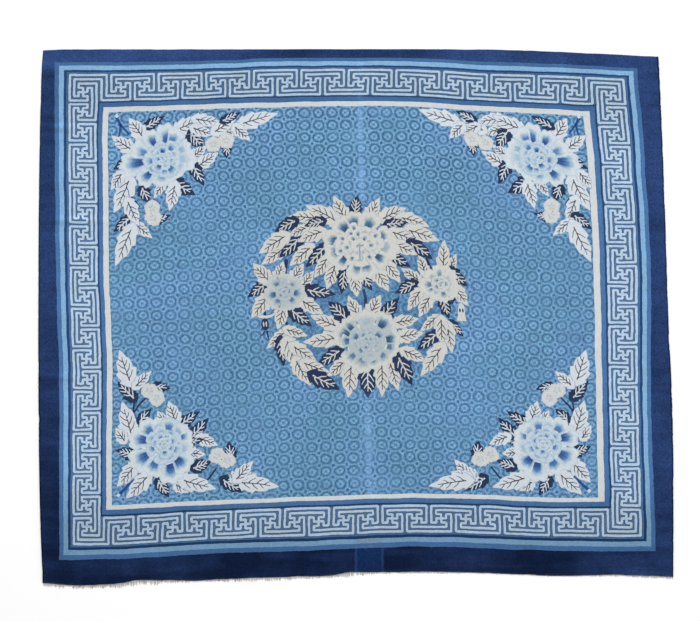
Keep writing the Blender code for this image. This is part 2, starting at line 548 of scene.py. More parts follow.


# How far from the middle of a mark its wear, painted light and painted shade end, and where they are full.
Wear = namedtuple("Wear", "ends full")
FOLD_WEAR, CREST_WEAR_AND_HIGHLIGHT = Wear(0.060, 0.0), Wear(0.022, 0.004)
CREST_MIDDLE, CREST_SPARED = 0.06, Step(0.40, 0.68, 0.30)  # where the fold's crest has less wear and painted highlight
BROKEN_SCALE, BROKEN = 7.0, Step(0.38, 0.66)  # the gaps in the fold's wear
FRAYED_SCALE, FRAYED = 22.0, Step(0.36, 0.60, 0.15)  # the gaps in its crest's wear and painted highlight
PATCH_X, PATCH_HALF = 0.0725, 0.0685  # the worn patch where the fold meets the foot edge
PATCH_RAGGED, RAGS_SCALE = 0.016, 40.0  # how far its sides wander, and how finely
PATCH_WEAR, SEAM_WEAR = Wear(0.006, -0.008), Wear(0.011, 0.002)
SEAM_INWARD = 0.004  # how far inside the patch its pale seam runs
CREASE_LIT, CREASE_LIT_SPAN = 0.014, Wear(0.018, 0.0)  # painted light on the side of a crease that faces the lamp
CREASE_SHADED, CREASE_SHADED_SPAN = -0.016, Wear(0.022, 0.0)
CREASE_SHADE = 0.8  # how dark the painted shade on the other side is, for how light the first one is
CREASE_FADES = (0.4, 1.3)  # where along its reach a crease's painted light and shade start to fade, and have gone


def wear_and_light_group():
    """Masks of where the old fold and the patch at the foot are rubbed, of the fold's crest with its wear and
    painted highlight, and of the creases' painted light and shade.
    """
    group, given, result = make_group(
        "Fold and wear", [("Vector", "Vector", None)],
        [("Fold", "Float"), ("Crest", "Float"), ("Crease", "Float"), ("Patch", "Float"), ("Seam", "Float")],
    )
    place = parts_of(given["Vector"])
    middle = calculate("ADD", times(place["Y"], FOLD_LEAN), FOLD_X)
    broken = ramp(uneven(given["Vector"], BROKEN_SCALE, detail=3.0), *BROKEN)
    fold = ramp(apart(place["X"], middle), *FOLD_WEAR)
    feed(result["Fold"], times(fold, broken))
    thin = ramp(apart(place["X"], middle), *CREST_WEAR_AND_HIGHLIGHT)
    frayed = ramp(uneven(given["Vector"], FRAYED_SCALE, detail=3.0), *FRAYED)
    spared = ramp(apart(place["Y"], CREST_MIDDLE), *CREST_SPARED)
    feed(result["Crest"], times(times(thin, frayed), spared))
    ragged = swung(uneven(given["Vector"], RAGS_SCALE, detail=3.0), PATCH_RAGGED)
    off = total(apart(place["X"], PATCH_X), ragged)
    feed(result["Patch"], ramp(off, *(PATCH_HALF + beyond for beyond in PATCH_WEAR)))
    feed(result["Seam"], ramp(apart(off, PATCH_HALF - SEAM_INWARD), *SEAM_WEAR))
    # Each crease: painted light on one side, painted shade on the other.
    marks = []
    for crease in CREASES:
        beyond = less(place["Y"], crease.y)
        lit = ramp(apart(beyond, CREASE_LIT), *CREASE_LIT_SPAN)
        shaded = ramp(apart(beyond, CREASE_SHADED), *CREASE_SHADED_SPAN, high=CREASE_SHADE)
        inward = [CAD_BOX[0][0] + share * crease.reach for share in CREASE_FADES]
        painted_light_amount = ramp(place["X"], *inward, low=1.0, high=0.0)
        marks.append(times(less(lit, shaded), painted_light_amount))
    feed(result["Crease"], total(*marks))
    return group


COIN_PITCH = (0.0683, 0.0606)  # of the lattice, across and along
COIN_SHIFT = (0.56, 0.32)  # where in its cell the middle of the field falls
COIN_HALF = (0.0238, 0.0208)  # to the middle of the coin's dark rim
COIN_SLANT = 0.71  # how far the coin's corners are cut
COIN_RIM = 0.0026  # half the width of its dark rim
LOBES_OUT, LOBE = (0.0125, 0.0115), 0.0058  # its four light lobes: how far out, and their radius
ANNULUS, ANNULUS_HALF = 0.0115, 0.0040  # the light ring through them, and half its width
COIN_HEART = 0.0040  # its dark heart
LATTICE_LINE = 0.0024  # half the width of the light lines
CROSS_DOT, CROSS_CLEAR = 0.0066, 0.0105  # the dot where lines cross, and where they stop short of it
CROSS_RING, CROSS_RING_HALF = 0.0118, 0.0027  # the light ring round that dot
LINE_BLUR = 0.0017  # half the width over which a knotted line fades into its ground
DRIFT_SCALE, DRIFT = 14.0, 0.012  # how the whole lattice drifts out of true
RAGGED_SCALE = 190.0  # how finely its lines are ragged


def lattice_group():
    """The field's small repeat: ringed coins between light lines that cross in ringed dots."""
    group, given, result = make_group(
        "Coin lattice",
        [("Vector", "Vector", None), ("Ragged", "Float", 0.006)],
        [("Light", "Float"), ("Dark", "Float")],
    )
    moved = given["Vector"]
    for scale, size in ((RAGGED_SCALE, given["Ragged"]), (DRIFT_SCALE, DRIFT)):
        stray = uneven(given["Vector"], scale, detail=1.0, output="Color")
        stray = calculate_vector("SUBTRACT", stray, (0.5, 0.5, 0.5))
        moved = calculate_vector("ADD", moved, lightened(stray, size))
    place = parts_of(moved)

    def from_middle(axis, pitch, shift):
        cell = calculate("FRACT", total(calculate("DIVIDE", axis, pitch), shift))
        return times(apart(cell, 0.5), pitch)

    def length(first, second):
        squares = (times(part, part) for part in (first, second))
        return calculate("SQRT", calculate("ADD", *squares))

    def near(distance, width):
        return ramp(distance, width + LINE_BLUR, width - LINE_BLUR)

    across = from_middle(place["X"], COIN_PITCH[0], COIN_SHIFT[0])
    along = from_middle(place["Y"], COIN_PITCH[1], COIN_SHIFT[1])
    shares = [calculate("DIVIDE", part, half) for part, half in zip((across, along), COIN_HALF)]
    slanted = times(total(*shares), COIN_SLANT)
    coin = times(most(*shares, slanted), COIN_HALF[1])
    to_lines = apart(across, COIN_PITCH[0] / 2), apart(along, COIN_PITCH[1] / 2)
    to_dot = length(*to_lines)
    middle = length(across, along)
    lines = near(calculate("MINIMUM", *to_lines), LATTICE_LINE)
    clear = less(1.0, near(to_dot, CROSS_CLEAR))
    to_lobes = (length(apart(across, LOBES_OUT[0]), along),
                length(across, apart(along, LOBES_OUT[1])))
    lobes = near(calculate("MINIMUM", *to_lobes), LOBE)
    annulus = times(near(apart(middle, ANNULUS), ANNULUS_HALF), 0.7)
    dot_ring = near(apart(to_dot, CROSS_RING), CROSS_RING_HALF)
    feed(result["Light"], most(times(lines, clear), lobes, annulus, dot_ring))
    rim = near(apart(coin, COIN_HALF[1]), COIN_RIM)
    heart = times(near(middle, COIN_HEART), 0.6)
    feed(result["Dark"], most(rim, near(to_dot, CROSS_DOT), heart))
    return group


def attribute_of(place, name):
    """What a piece's own points say of themselves under a name."""
    node = node_beside("Attribute", place)
    node.attribute_name = name
    return node


def use_group(name, **values):
    """Place a shader group; each value goes to the input of that name."""
    node = node_beside("Group", *values.values())
    node.node_tree = bpy.data.node_groups[name]
    feed_inputs(node, **values)
    return node.outputs


def opaque(colour, factor=1.0):
    """A colour for a socket, lighter or darker by a factor."""
    return (*(min(1.0, part * factor) for part in colour), 1.0)


KNOT_RISE = 0.0012  # how high a knot's dome stands


def blank_material(name):
    """A new material, its Principled shader and the object's own coordinates."""
    material = bpy.data.materials.new(name)
    material.use_nodes = True
    shader = material.node_tree.nodes["Principled BSDF"]
    feed_inputs(shader, Specular_IOR_Level=0.05, Sheen_Weight=0.01, Sheen_Roughness=0.5)
    place = material.node_tree.nodes.new("ShaderNodeTexCoord").outputs["Object"]
    return material, shader, place


def finish_pile(shader, colour, place, contrast=0.22, bump=0.35):
    """End every wool material alike: knots over its colour, with a knotted bump."""
    knot = bpy.context.scene.rug_sizes.knot
    pile = use_group("Knotted pile", Color=colour, Vector=place, Knot=knot, Contrast=contrast, Mottle=MOTTLE)
    rise = node_beside("Bump", place)
    feed_inputs(rise, Strength=bump, Distance=KNOT_RISE, Height=pile["Height"])
    feed_inputs(shader, Base_Color=pile["Color"], Roughness=pile["Roughness"], Normal=rise.outputs["Normal"])


# Where along the rug the painted shade towards its foot is full and has gone, and where the darkening at its
# head starts and is full.
FOOT_SHADE, HEAD_DARKENING = (-1.05, -0.72), (0.82, 1.10)


def wear_and_paint_light(place, colour, rubbed, fold=0.30, crest=0.15, crease=0.22, foot=0.10, head=0.0):
    """Lighten a wool where the fold rubbed it, and on the fold's crest for its wear and a painted highlight;
    paint light and shade on the creases' two sides; darken it by these shares at the foot, as painted shade,
    and at the head.
    """
    wear_and_light = use_group("Fold and wear", Vector=place)
    colour = blend_colours(times(wear_and_light["Fold"], fold), colour, rubbed)
    # The fold's crest: wear and a painted highlight.
    light = opaque(bpy.context.scene.rug_colours.fold_crest_highlight_and_wear)
    colour = blend_colours(times(wear_and_light["Crest"], crest), colour, light)
    along = parts_of(place)["Y"]
    # Painted shade darker towards the foot, and darker towards the head.
    foot_and_head_tone = times(ramp(along, *FOOT_SHADE, low=1.0 - foot, high=1.0),
                  ramp(along, *HEAD_DARKENING, low=1.0, high=1.0 - head))
    # Painted light and shade on the creases' two sides, with the darkening towards foot and head.
    return lightened(colour, total(foot_and_head_tone, times(wear_and_light["Crease"], crease))), wear_and_light


def dye_between(place, colour, spread, swing=1.4, other=None):
    """Wool dyed unevenly, from a shade darker than its colour to one lighter, or towards another."""
    return use_group("Uneven dye", Vector=place, Deep=opaque(colour, 1 - spread),
                     Faded=opaque(other or colour, 1 + spread), Fading=0.5, Swing=swing)["Color"]


# Each dyed wool: how unevenly it took its dye, its knots' contrast, and how much darker it is made at the
# foot, as painted shade, and at the head.
Wool = namedtuple("Wool", "key words spread contrast foot head")
WOOLS = (
    Wool("mid_blue", "Mid blue wool", 0.18, 0.30, 0.24, 0.20),
    Wool("light_blue", "Light blue wool", 0.16, 0.26, 0.30, 0.02),
    Wool("ivory", "Ivory wool", 0.03, 0.12, 0.08, 0.05),
    Wool("leaf_ivory", "Leaf ivory wool", 0.04, 0.12, 0.10, 0.0),
    Wool("line_blue", "Dark line wool", 0.35, 0.30, 0.45, 0.05),
    Wool("fret_ground", "Fret ground wool", 0.20, 0.34, 0.22, 0.20),
    Wool("fret_outline", "Fret outline wool", 0.32, 0.50, 0.30, 0.30),
    Wool("fret_light", "Fret light wool", 0.12, 0.26, 0.15, 0.10),
    Wool("leaf_edge", "Leaf edge wool", 0.15, 0.16, 0.10, 0.0),
    Wool("leaf_navy", "Leaf navy wool", 0.35, 0.45, 0.10, 0.0),
    Wool("twig_blue", "Twig blue wool", 0.25, 0.30, 0.10, 0.0),
    Wool("vein_dark", "Dark vein wool", 0.30, 0.30, 0.10, 0.0),
    Wool("heart_mark", "Heart mark wool", 0.12, 0.14, 0.0, 0.0),
)
MEDALLION_EDGE = (0.62, 0.80)  # over which distances from its middle the medallion's tone ends
PATCH_TOP = Step(-1.03, -1.06, high=0.45)  # where along the rug the worn patch begins
RUBBED_LIGHT = 1.30  # how much lighter a rubbed wool is


def wool_material(wool, colour, worn=None, far=None, other=None):
    """Dyed wool; worn is its tone in the patch at the foot, far its tone away from the medallion."""
    material, shader, place = blank_material(wool.words)
    result = dye_between(place, colour, wool.spread, other=other)
    if far:
        away = ramp(calculate_vector("DISTANCE", place, (*MEDALLION, THICKNESS)), *MEDALLION_EDGE)
        result = blend_colours(away, result, dye_between(place, far, wool.spread))
    result, wear_and_light = wear_and_paint_light(place, result, opaque(colour, RUBBED_LIGHT), foot=wool.foot, head=wool.head)
    if worn:
        low = ramp(parts_of(place)["Y"], *PATCH_TOP)
        result = blend_colours(times(wear_and_light["Patch"], low), result, opaque(worn))
    finish_pile(shader, result, place, wool.contrast)
    return material


# How much painted haze and light make the surround's navy paler: more towards the head, and less again
# close to it; more at the right, about its middle; and at the head, more at the left, but for a dip about the
# middle.
PAINTED_LIGHT_RISE, PAINTED_LIGHT_FALL = Step(-1.20, 0.25, 0.06, 0.52), Step(0.30, 1.03, high=-0.20)
PAINTED_LIGHT_RIGHT, RIGHT_MIDDLE, RIGHT_ENDS = Step(0.90, 1.45), 0.10, Step(0.25, 0.75, high=0.30)
PAINTED_LIGHT_HEAD, HEAD_LEFT = Step(1.18, 1.26), Step(0.30, 1.50, 0.50, 0.05)
DIP_MIDDLE, DIP = -0.08, Step(0.32, 0.80, 0.10)
SURROUND_SWING = 1.15  # how unevenly it faded
PATCH_START, PATCH_END = Step(-1.06, -1.10), Step(-1.26, -1.14, 0.55)  # the patch, towards the foot
PATCH_SHARE, SEAM_SHARE = 0.85, 0.25


def surround_colour(place, colours):
    """The navy surround: deep at the foot, paler towards the head with painted haze and light, royal blue
    where the fold wore it.
    """
    parts = parts_of(place)
    across, along = parts["X"], parts["Y"]
    rise = ramp(along, *PAINTED_LIGHT_RISE)
    fall = ramp(along, *PAINTED_LIGHT_FALL)
    right = times(ramp(across, *PAINTED_LIGHT_RIGHT), ramp(apart(along, RIGHT_MIDDLE), *RIGHT_ENDS))
    head = times(ramp(along, *PAINTED_LIGHT_HEAD), ramp(across, *HEAD_LEFT))
    dip = ramp(apart(across, DIP_MIDDLE), *DIP)
    # Painted haze and light: how much paler the navy is made towards the head and in these places.
    painted_light_amount = total(rise, fall, right, times(head, dip))
    dye = use_group("Uneven dye", Vector=place, Deep=opaque(colours.navy),
                    Faded=opaque(colours.navy_lit_and_worn), Fading=painted_light_amount, Swing=SURROUND_SWING)
    rubbed = opaque(colours.navy_lit_and_worn, 1.2)
    colour, wear_and_light = wear_and_paint_light(place, dye["Color"], rubbed, fold=0.12, crest=0.0, foot=0.0)
    low = times(ramp(along, *PATCH_START), ramp(along, *PATCH_END))
    patch = times(wear_and_light["Patch"], times(low, PATCH_SHARE))
    colour = blend_colours(patch, colour, opaque(colours.navy_rubbed))
    seam = times(wear_and_light["Seam"], times(low, SEAM_SHARE))
    return blend_colours(seam, colour, opaque(colours.navy_lit_and_worn, 1.3))


GREEN_CAST, VIOLET_CAST = (0.96, 1.00, 0.96, 1.0), (1.03, 0.995, 1.03, 1.0)  # of the field's wool
CAST_SCALE, CAST = 2.6, Step(0.34, 0.66)
WRINKLES = (5.0, 34.0, 1.0)  # how closely the painted shade of the field's fine wrinkles follows itself along each axis
WRINKLE_SHADE = Step(0.60, 0.74, high=-0.16)
CLOUD_SCALE, CLOUDS = 2.2, 0.34  # how large its lighter and darker parts are, and how marked
# The lattice's strength: less within the medallion, more towards the head, and patchy.
WITHIN, WITHIN_WEAKER = Step(0.50, 0.42), 0.20
CRISP, PATCHY_SCALE, PATCHY = Step(0.45, 0.90, 0.76, 0.92), 7.0, Step(0.30, 0.60, 0.72, 1.10)
MUDDLE_SCALE, MUDDLE = 26.0, Step(0.38, 0.68, 0.05, 0.70)  # dark knots in the medallion's ground


def field_colour(place, drawn, colours):
    """The pale field with its lattice, muddled within the medallion, rubbed along the fold, and with painted
    shade in fine wrinkles.
    """
    lattice = use_group("Coin lattice", Vector=drawn, Ragged=0.014)
    within = ramp(calculate_vector("DISTANCE", drawn, (*MEDALLION, 0.0)), *WITHIN)
    crisp = ramp(parts_of(place)["Y"], *CRISP)
    patchy = ramp(uneven(drawn, PATCHY_SCALE), *PATCHY)
    strength = less(times(crisp, patchy), times(within, WITHIN_WEAKER))
    colour = dye_between(place, colours.field_ground, 0.15, 1.9)
    for mask, tone in (("Light", colours.field_light), ("Dark", colours.field_dark)):
        colour = blend_colours(times(lattice[mask], strength), colour, opaque(tone))
    muddle = ramp(uneven(drawn, MUDDLE_SCALE, detail=3.0), *MUDDLE)
    colour = blend_colours(times(within, muddle), colour, opaque(colours.field_dark))
    cast = ramp(uneven(place, CAST_SCALE, detail=3.0), *CAST)
    cast = blend_colours(cast, GREEN_CAST, VIOLET_CAST)
    colour = calculate_vector("MULTIPLY", colour, cast)
    rubbed = opaque(colours.field_light, 1.12)
    colour = wear_and_paint_light(place, colour, rubbed, fold=0.26, crest=0.42, foot=0.05)[0]
    # Painted shade: darker streaks where the field has fine wrinkles.
    wrinkle_shade = ramp(uneven(place, 1.0, detail=4.0, stretch=WRINKLES), *WRINKLE_SHADE)
    return lightened(colour, total(1.0, wrinkle_shade, swung(uneven(place, CLOUD_SCALE), CLOUDS)))


def field_material(colours):
    """The rug's own pile: the lattice in the field, navy around the border."""
    material, shader, place = blank_material("Field and surround wool")
    drawn = attribute_of(place, "drawing").outputs["Vector"]
    corner = parts_of(calculate_vector("ABSOLUTE", drawn))
    beyond = (less(corner[axis], GUARD_HALF[axis] - BORDER_WIDTH / 2) for axis in (0, 1))
    surround = calculate("GREATER_THAN", most(*beyond), 0.0)
    colour = blend_colours(surround, field_colour(place, drawn, colours),
                           surround_colour(place, colours))
    grain = ramp(surround, 0.0, 1.0, low=0.50, high=0.66)
    finish_pile(shader, colour, place, contrast=grain)
    return material


STITCHES = (20.0, 150.0, 20.0)  # how closely the overcast stitches, and the painted shade between them, follow each other along each axis


def selvedge_material(colours):
    """Overcast side edges: the surround's navy, darker overall, with painted shade in the grooves between the
    stitches.
    """
    material, shader, place = blank_material("Selvedge wool")
    stitch_shade = uneven(place, 1.0, detail=1.0, stretch=STITCHES)
    # Painted shade: the navy darkened, most of all in the grooves between the stitches.
    tone = total(0.45, swung(stitch_shade, 0.5))
    colour = lightened(surround_colour(place, colours), tone)
    finish_pile(shader, colour, place, bump=0.5)
    return material


def petal_material(colours):
    """Petals: pale tips that darken to blue at their feet, by each petal's own shade and warmth."""
    material, shader, place = blank_material("Shaded petal wool")
    shade, warmth = (attribute_of(place, words).outputs["Fac"] for words in ("shade", "warmth"))
    level = total(shade, swung(uneven(place, 150.0, detail=1.0), 0.14))
    colour = None
    for start, end, cool, warm in (
        (0.0, 0.0, colours.petal_deep, colours.petal_slate),
        (0.0, 0.30, colours.petal_blue, colours.petal_steel),
        (0.30, 0.68, colours.petal_pale, colours.petal_grey),
        (0.68, 0.96, colours.petal_ivory, colours.petal_beige),
    ):
        tone = blend_colours(warmth, opaque(cool), opaque(warm))
        colour = blend_colours(ramp(level, start, end), colour, tone) if colour else tone
    finish_pile(shader, colour, place, contrast=0.14)
    return material


SOIL_SCALE, SOIL = 24.0, Step(0.42, 0.75)
SOIL_STREAKS = (320.0, 60.0, 60.0)  # how closely the streaks of soil in the cotton follow each other
STREAK_DEPTH = Step(0.35, 0.7, high=0.5)
SOIL_TONE = 0.42  # how dark soiled cotton is, beside clean


def cotton_material(colours):
    """Bare warps: undyed cotton, soiled in places."""
    material, shader, place = blank_material("Bare cotton")
    colour = opaque(colours.cotton)
    soiled = ramp(uneven(place, SOIL_SCALE, detail=4.0), *SOIL)
    streaks = ramp(uneven(place, 1.0, stretch=SOIL_STREAKS), *STREAK_DEPTH)
    for mask in (soiled, streaks):
        colour = blend_colours(mask, colour, opaque(colours.cotton, SOIL_TONE))
    finish_pile(shader, colour, place, contrast=0.10, bump=0.15)
    return material


def make_materials():
    """Build the groups and every wool and cotton, by name."""
    colours = bpy.context.scene.rug_colours
    for builder in (knots_group, dye_group, wear_and_light_group, lattice_group):
        builder()
    made = {
        "field": field_material(colours), "selvedge": selvedge_material(colours),
        "petal": petal_material(colours), "cotton": cotton_material(colours),
    }
    tones = {  # the wools that change tone over the rug
        "mid_blue": {"worn": colours.mid_worn},
        "light_blue": {"worn": colours.light_worn},
        "ivory": {"other": colours.ivory_warm},
        "leaf_ivory": {"far": colours.leaf_white, "other": colours.leaf_warm},
    }
    for wool in WOOLS:
        made[wool.key] = wool_material(wool, getattr(colours, wool.key), **tones.get(wool.key, {}))
    return made


MATERIALS = {}  # every wool and the cotton, once they are dyed


# ---------------------------------------------------------------- drawing on the rug
CARVED_DROP = 0.00022  # how far the cut sides of a clipped line fall
CARVED_SHARE, CARVED_COLUMNS = 0.66, 3  # how much of its width stays level, and its steps across
WIDE_STEP = 0.02  # longest step across a wide drawing
EDGE = 0.95  # a point of a patch beyond this share of it lies on its edge
SCALLOPS = 9  # round a disc
TURNS = 3  # neighbouring lines and petals take turns at this many levels
LINE_STEP = 0.00003  # between those levels of the fret's lines


def draw_patch(shape, along, across, place):
    """A patch of knots: a grid whose points place(s, t) puts, with s and t from -1 to 1.

    place gives u, v, level and shade, the last from 0, a petal's darkest blue, to 1, its ivory.
    """
    shade = shape.verts.layers.float.get("shade")
    made = bmesh.ops.create_grid(shape, x_segments=along, y_segments=across, size=1)["verts"]
    for vert in made:
        u, v, level, tone = place(vert.co.x, vert.co.y)
        vert.co = (u, v, level)
        if shade is not None:
            vert[shade] = tone
    return made


def draw_disc(shape, middle, radii, level, steps, scallops=0.0):
    """A round patch of knots, with shallow scallops round it if asked."""
    def place(s, t):
        across, along = s * math.sqrt(1 - t * t / 2), t * math.sqrt(1 - s * s / 2)
        size = 1 + scallops * math.cos(SCALLOPS * math.atan2(along, across))
        return middle[0] + radii[0] * across * size, middle[1] + radii[1] * along * size, level, 1.0

    return draw_patch(shape, steps, steps, place)


def mitred_sides(points, width):
    """For each point of a route, the step from its middle to its left side."""
    sides = []
    last = len(points) - 1
    for index in range(len(points)):
        before = points[max(index, 1)] - points[max(index, 1) - 1]
        after = points[min(index, last - 1) + 1] - points[min(index, last - 1)]
        before, after = before / np.hypot(*before), after / np.hypot(*after)
        turn = np.array([-before[1] - after[1], before[0] + after[0]])
        sides.append(turn / (1 + before @ after) * width / 2)
    return np.array(sides)


def draw_line(shape, route, width, level, taper=1.0, clipped=False):
    """A woven line along a route, in steps short enough to follow the rug's unevenness."""
    step = bpy.context.scene.rug_sizes.drawn_step
    points = np.array(route, dtype=float)
    sides = mitred_sides(points, width)
    places = [0.0]
    for index, reach in enumerate(np.hypot(*(points[1:] - points[:-1]).T)):
        steps = max(1, math.ceil(reach / step))
        places += [index + part / steps for part in range(1, steps + 1)]

    def place(s, t):
        at = places[round((s + 1) / 2 * (len(places) - 1))]
        index = min(int(at), len(points) - 2)
        middle = points[index] + (points[index + 1] - points[index]) * (at - index)
        side = sides[index] + (sides[index + 1] - sides[index]) * (at - index)
        cut = clipped and abs(t) > EDGE
        out = math.copysign(CARVED_SHARE, t) if clipped and not cut else t
        u, v = middle + side * out * (1 - (1 - taper) * at / (len(points) - 1))
        return u, v, level - (CARVED_DROP if cut else 0.0), 1.0

    columns = CARVED_COLUMNS if clipped else math.ceil(width / WIDE_STEP)
    draw_patch(shape, len(places) - 1, columns, place)


def rounded_route(route, radius):
    """The same route with each corner cut by a short slant."""
    points = [np.array(point, dtype=float) for point in route]
    result = [points[0]]
    for before, corner, after in zip(points, points[1:], points[2:]):
        for end in (before, after):
            way = end - corner
            result.append(corner + way / np.hypot(*way) * radius)
    return result + [points[-1]]


def lay_shape(shape, height):
    """Move a drawn shape to its place on the rug; height gives z from x, y and the drawn level."""
    drawn = np.array([vert.co for vert in shape.verts])
    x, y = lay(drawn[:, 0], drawn[:, 1])
    for vert, place in zip(shape.verts, np.stack((x, y, height(x, y, drawn[:, 2])), axis=1)):
        vert.co = place


def thicken(shape, depth):
    """Give a flat drawing a closed body of this depth, the drawing on top."""
    raised = bmesh.ops.extrude_face_region(shape, geom=shape.faces[:])["geom"]
    tops = [item for item in raised if isinstance(item, bmesh.types.BMVert)]
    bmesh.ops.translate(shape, verts=tops, vec=(0, 0, depth))
    bmesh.ops.recalc_face_normals(shape, faces=shape.faces)


def weave_in(name, shape, material):
    """Turn a flat drawing into closed plates of knots, laid on the rug as one piece."""
    depth = bpy.context.scene.rug_sizes.plate
    thicken(shape, depth)
    lay_shape(shape, lambda x, y, z: pile_height(x, y) + z - depth)
    return finish_piece(name, shape, material)


def add_object(name, data):
    """A new object in the scene."""
    item = bpy.data.objects.new(name, data)
    bpy.context.scene.collection.objects.link(item)
    return item


def add_shape(name, shape, material):
    """A drawn shape as an object of one material."""
    mesh = bpy.data.meshes.new(name)
    shape.to_mesh(mesh)
    shape.free()
    mesh.materials.append(material)
    return add_object(name, mesh)


def finish_piece(name, shape, material):
    """Make a drawn shape a piece of the rug."""
    piece = add_shape(name, shape, MATERIALS[material])
    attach(piece, "root")
    return piece


# How high each kind of drawing stands above the ground of the pile.
STRIPE_LEVEL, IVORY_LEVEL, STEM_LEVEL = 0.0003, 0.00042, 0.0005
OUTLINE_LEVEL, FRET_LEVEL = 0.00045, 0.00075
LEAF_LEVEL, LEAF_STEP, LEAF_LEVELS = 0.0006, 0.00008, 8
EDGE_BELOW, VEIN_ABOVE = 0.000025, 0.000035
BUD_LEVEL, BASE_LEVEL = 0.0012, 0.00125
PETAL_LEVEL, PETAL_STEP, RING_STEP = 0.00140, 0.00003, 0.00016


# ---------------------------------------------------------------- the border
def ring_corners(insets):
    """The corners of a ring, at its own distance inside the surround on each side."""
    low = (insets.left - GUARD_HALF[0], insets.foot - GUARD_HALF[1])
    high = (GUARD_HALF[0] - insets.right, GUARD_HALF[1] - insets.head)
    return [np.array(corner) for corner in (low, (high[0], low[1]), high, (low[0], high[1]))]


def draw_ring(shape, outer, inner, level):
    """A mitred band right round the rug, between two rings."""
    step = bpy.context.scene.rug_sizes.drawn_step
    outside, inside = ring_corners(outer), ring_corners(inner)
    widest = max(abs(first - second) for first, second in zip(outer, inner))
    made = []
    for turn in range(4):
        after = (turn + 1) % 4

        def place(s, t):
            along, inward = (s + 1) / 2, (t + 1) / 2
            first = outside[turn] + (outside[after] - outside[turn]) * along
            second = inside[turn] + (inside[after] - inside[turn]) * along
            u, v = first + (second - first) * inward
            return u, v, level, 1.0

        length = np.hypot(*(outside[after] - outside[turn]))
        made += draw_patch(shape, math.ceil(length / step), math.ceil(widest / WIDE_STEP), place)
    bmesh.ops.remove_doubles(shape, verts=made, dist=SAME_PLACE)


def weave_bands():
    """The stripes, the dark lines and the fret's ground, and the ivory line round the field."""
    pieces = []
    for name, bands, material in (
        ("mid_blue_stripes", MID_BLUE_BANDS, "mid_blue"),
        ("light_blue_stripe", LIGHT_BLUE_BANDS, "light_blue"),
        ("dark_lines", DARK_BANDS, "line_blue"), ("fret_ground", FRET_BANDS, "fret_ground"),
    ):
        shape = bmesh.new()
        for band in bands:
            draw_ring(shape, band.start, band.end, STRIPE_LEVEL)
        pieces.append(weave_in(name, shape, material))
    shape = bmesh.new()
    outer, inner = (Sides(*(BORDER_WIDTH + side * width / 2 for width in IVORY_WIDTH)) for side in (-1, 1))
    draw_ring(shape, outer, inner, IVORY_LEVEL)
    pieces.append(weave_in("ivory_line", shape, "ivory"))
    return pieces


# The fret, on its own grid: columns across from the outer line, rows down from the outer line.
FRET_COLUMNS, FRET_ROWS = 117, 113
FRET_DEPTH = 6  # grid steps from the outer line of the fret to its inner one
REPEAT = 10  # grid steps from one block to the next like it
OUTER_BLOCKS, HEAD_BLOCKS, SIDE_BLOCKS = 10, 9, 11  # how many outer blocks, and field blocks, a band has
OUTER_BLOCK = (
    ((2, 3), (1, 3), (1, 4), (0, 4), (0, 0), (9, 0), (9, 4), (8, 4), (8, 3), (7, 3)),
    ((2, 3), (2, 2), (1, 2), (1, 1), (8, 1), (8, 2), (7, 2), (7, 3)),
)
FIELD_BLOCK = (
    ((7, 3), (6, 3), (6, 2), (5, 2), (5, 6), (14, 6), (14, 2), (13, 2), (13, 3), (12, 3)),
    ((7, 3), (7, 4), (6, 4), (6, 5), (13, 5), (13, 4), (12, 4), (12, 3)),
)
CORNER_BLOCK = (
    ((3, 4), (3, 5), (4, 5), (4, 6), (0, 6), (0, 0), (8, 0), (8, 5), (12, 5), (12, 4), (11, 4), (11, 3)),
    ((3, 4), (2, 4), (2, 5), (1, 5), (1, 1), (7, 1), (7, 6), (13, 6), (13, 2), (12, 2), (12, 3), (11, 3)),
)
HEAD_START = 9  # column where the first outer block of the head and foot bands starts
SIDE_START = -3  # row from which the first field block of the side bands is counted
SIDE_OUTER_START = 7  # row where the first outer block of the side bands starts
FRET_MARGIN = 0.0053  # from the band's sides to the middles of the fret's outermost lines
FRET_CORNER = 0.0022  # how far from each corner its slant starts


def fret_place(column, row):
    """Where a grid point of the fret is drawn: in even steps across its bands, and along them."""
    def spread(index, count, half, first, last):
        outer, inner = ([half - getattr(inset, side) + margin for side in (first, last)]
                        for inset, margin in ((FRET_START, -FRET_MARGIN), (FRET_END, FRET_MARGIN)))
        return np.interp(index, (0, FRET_DEPTH, count - FRET_DEPTH, count),
                         (-outer[0], -inner[0], inner[1], outer[1]))

    return (spread(column, FRET_COLUMNS, GUARD_HALF[0], "left", "right"),
            -spread(row, FRET_ROWS, GUARD_HALF[1], "head", "foot"))


def fret_strokes():
    """Every line of the fret, as routes of grid points."""
    def placed(block, start, upright):
        moved = [[(along + start, deep) for along, deep in stroke] for stroke in block]
        return [[point[::-1] for point in stroke] for stroke in moved] if upright else moved

    def mirrored(strokes, columns, rows):
        return [[(FRET_COLUMNS - c if columns else c, FRET_ROWS - r if rows else r) for c, r in stroke]
                for stroke in strokes]

    head, side = [], []
    for number in range(OUTER_BLOCKS):
        head += placed(OUTER_BLOCK, HEAD_START + REPEAT * number, False)
        side += placed(OUTER_BLOCK, SIDE_OUTER_START + REPEAT * number, True)
    for number in range(HEAD_BLOCKS):
        head += placed(FIELD_BLOCK, HEAD_START + REPEAT * number, False)
    for number in range(SIDE_BLOCKS):
        side += placed(FIELD_BLOCK, SIDE_START + REPEAT * number, True)
    strokes = head + mirrored(head, False, True) + side + mirrored(side, True, False)
    corners = [mirrored(CORNER_BLOCK, columns, rows) for columns in (False, True) for rows in (False, True)]
    return strokes + sum(corners, [])


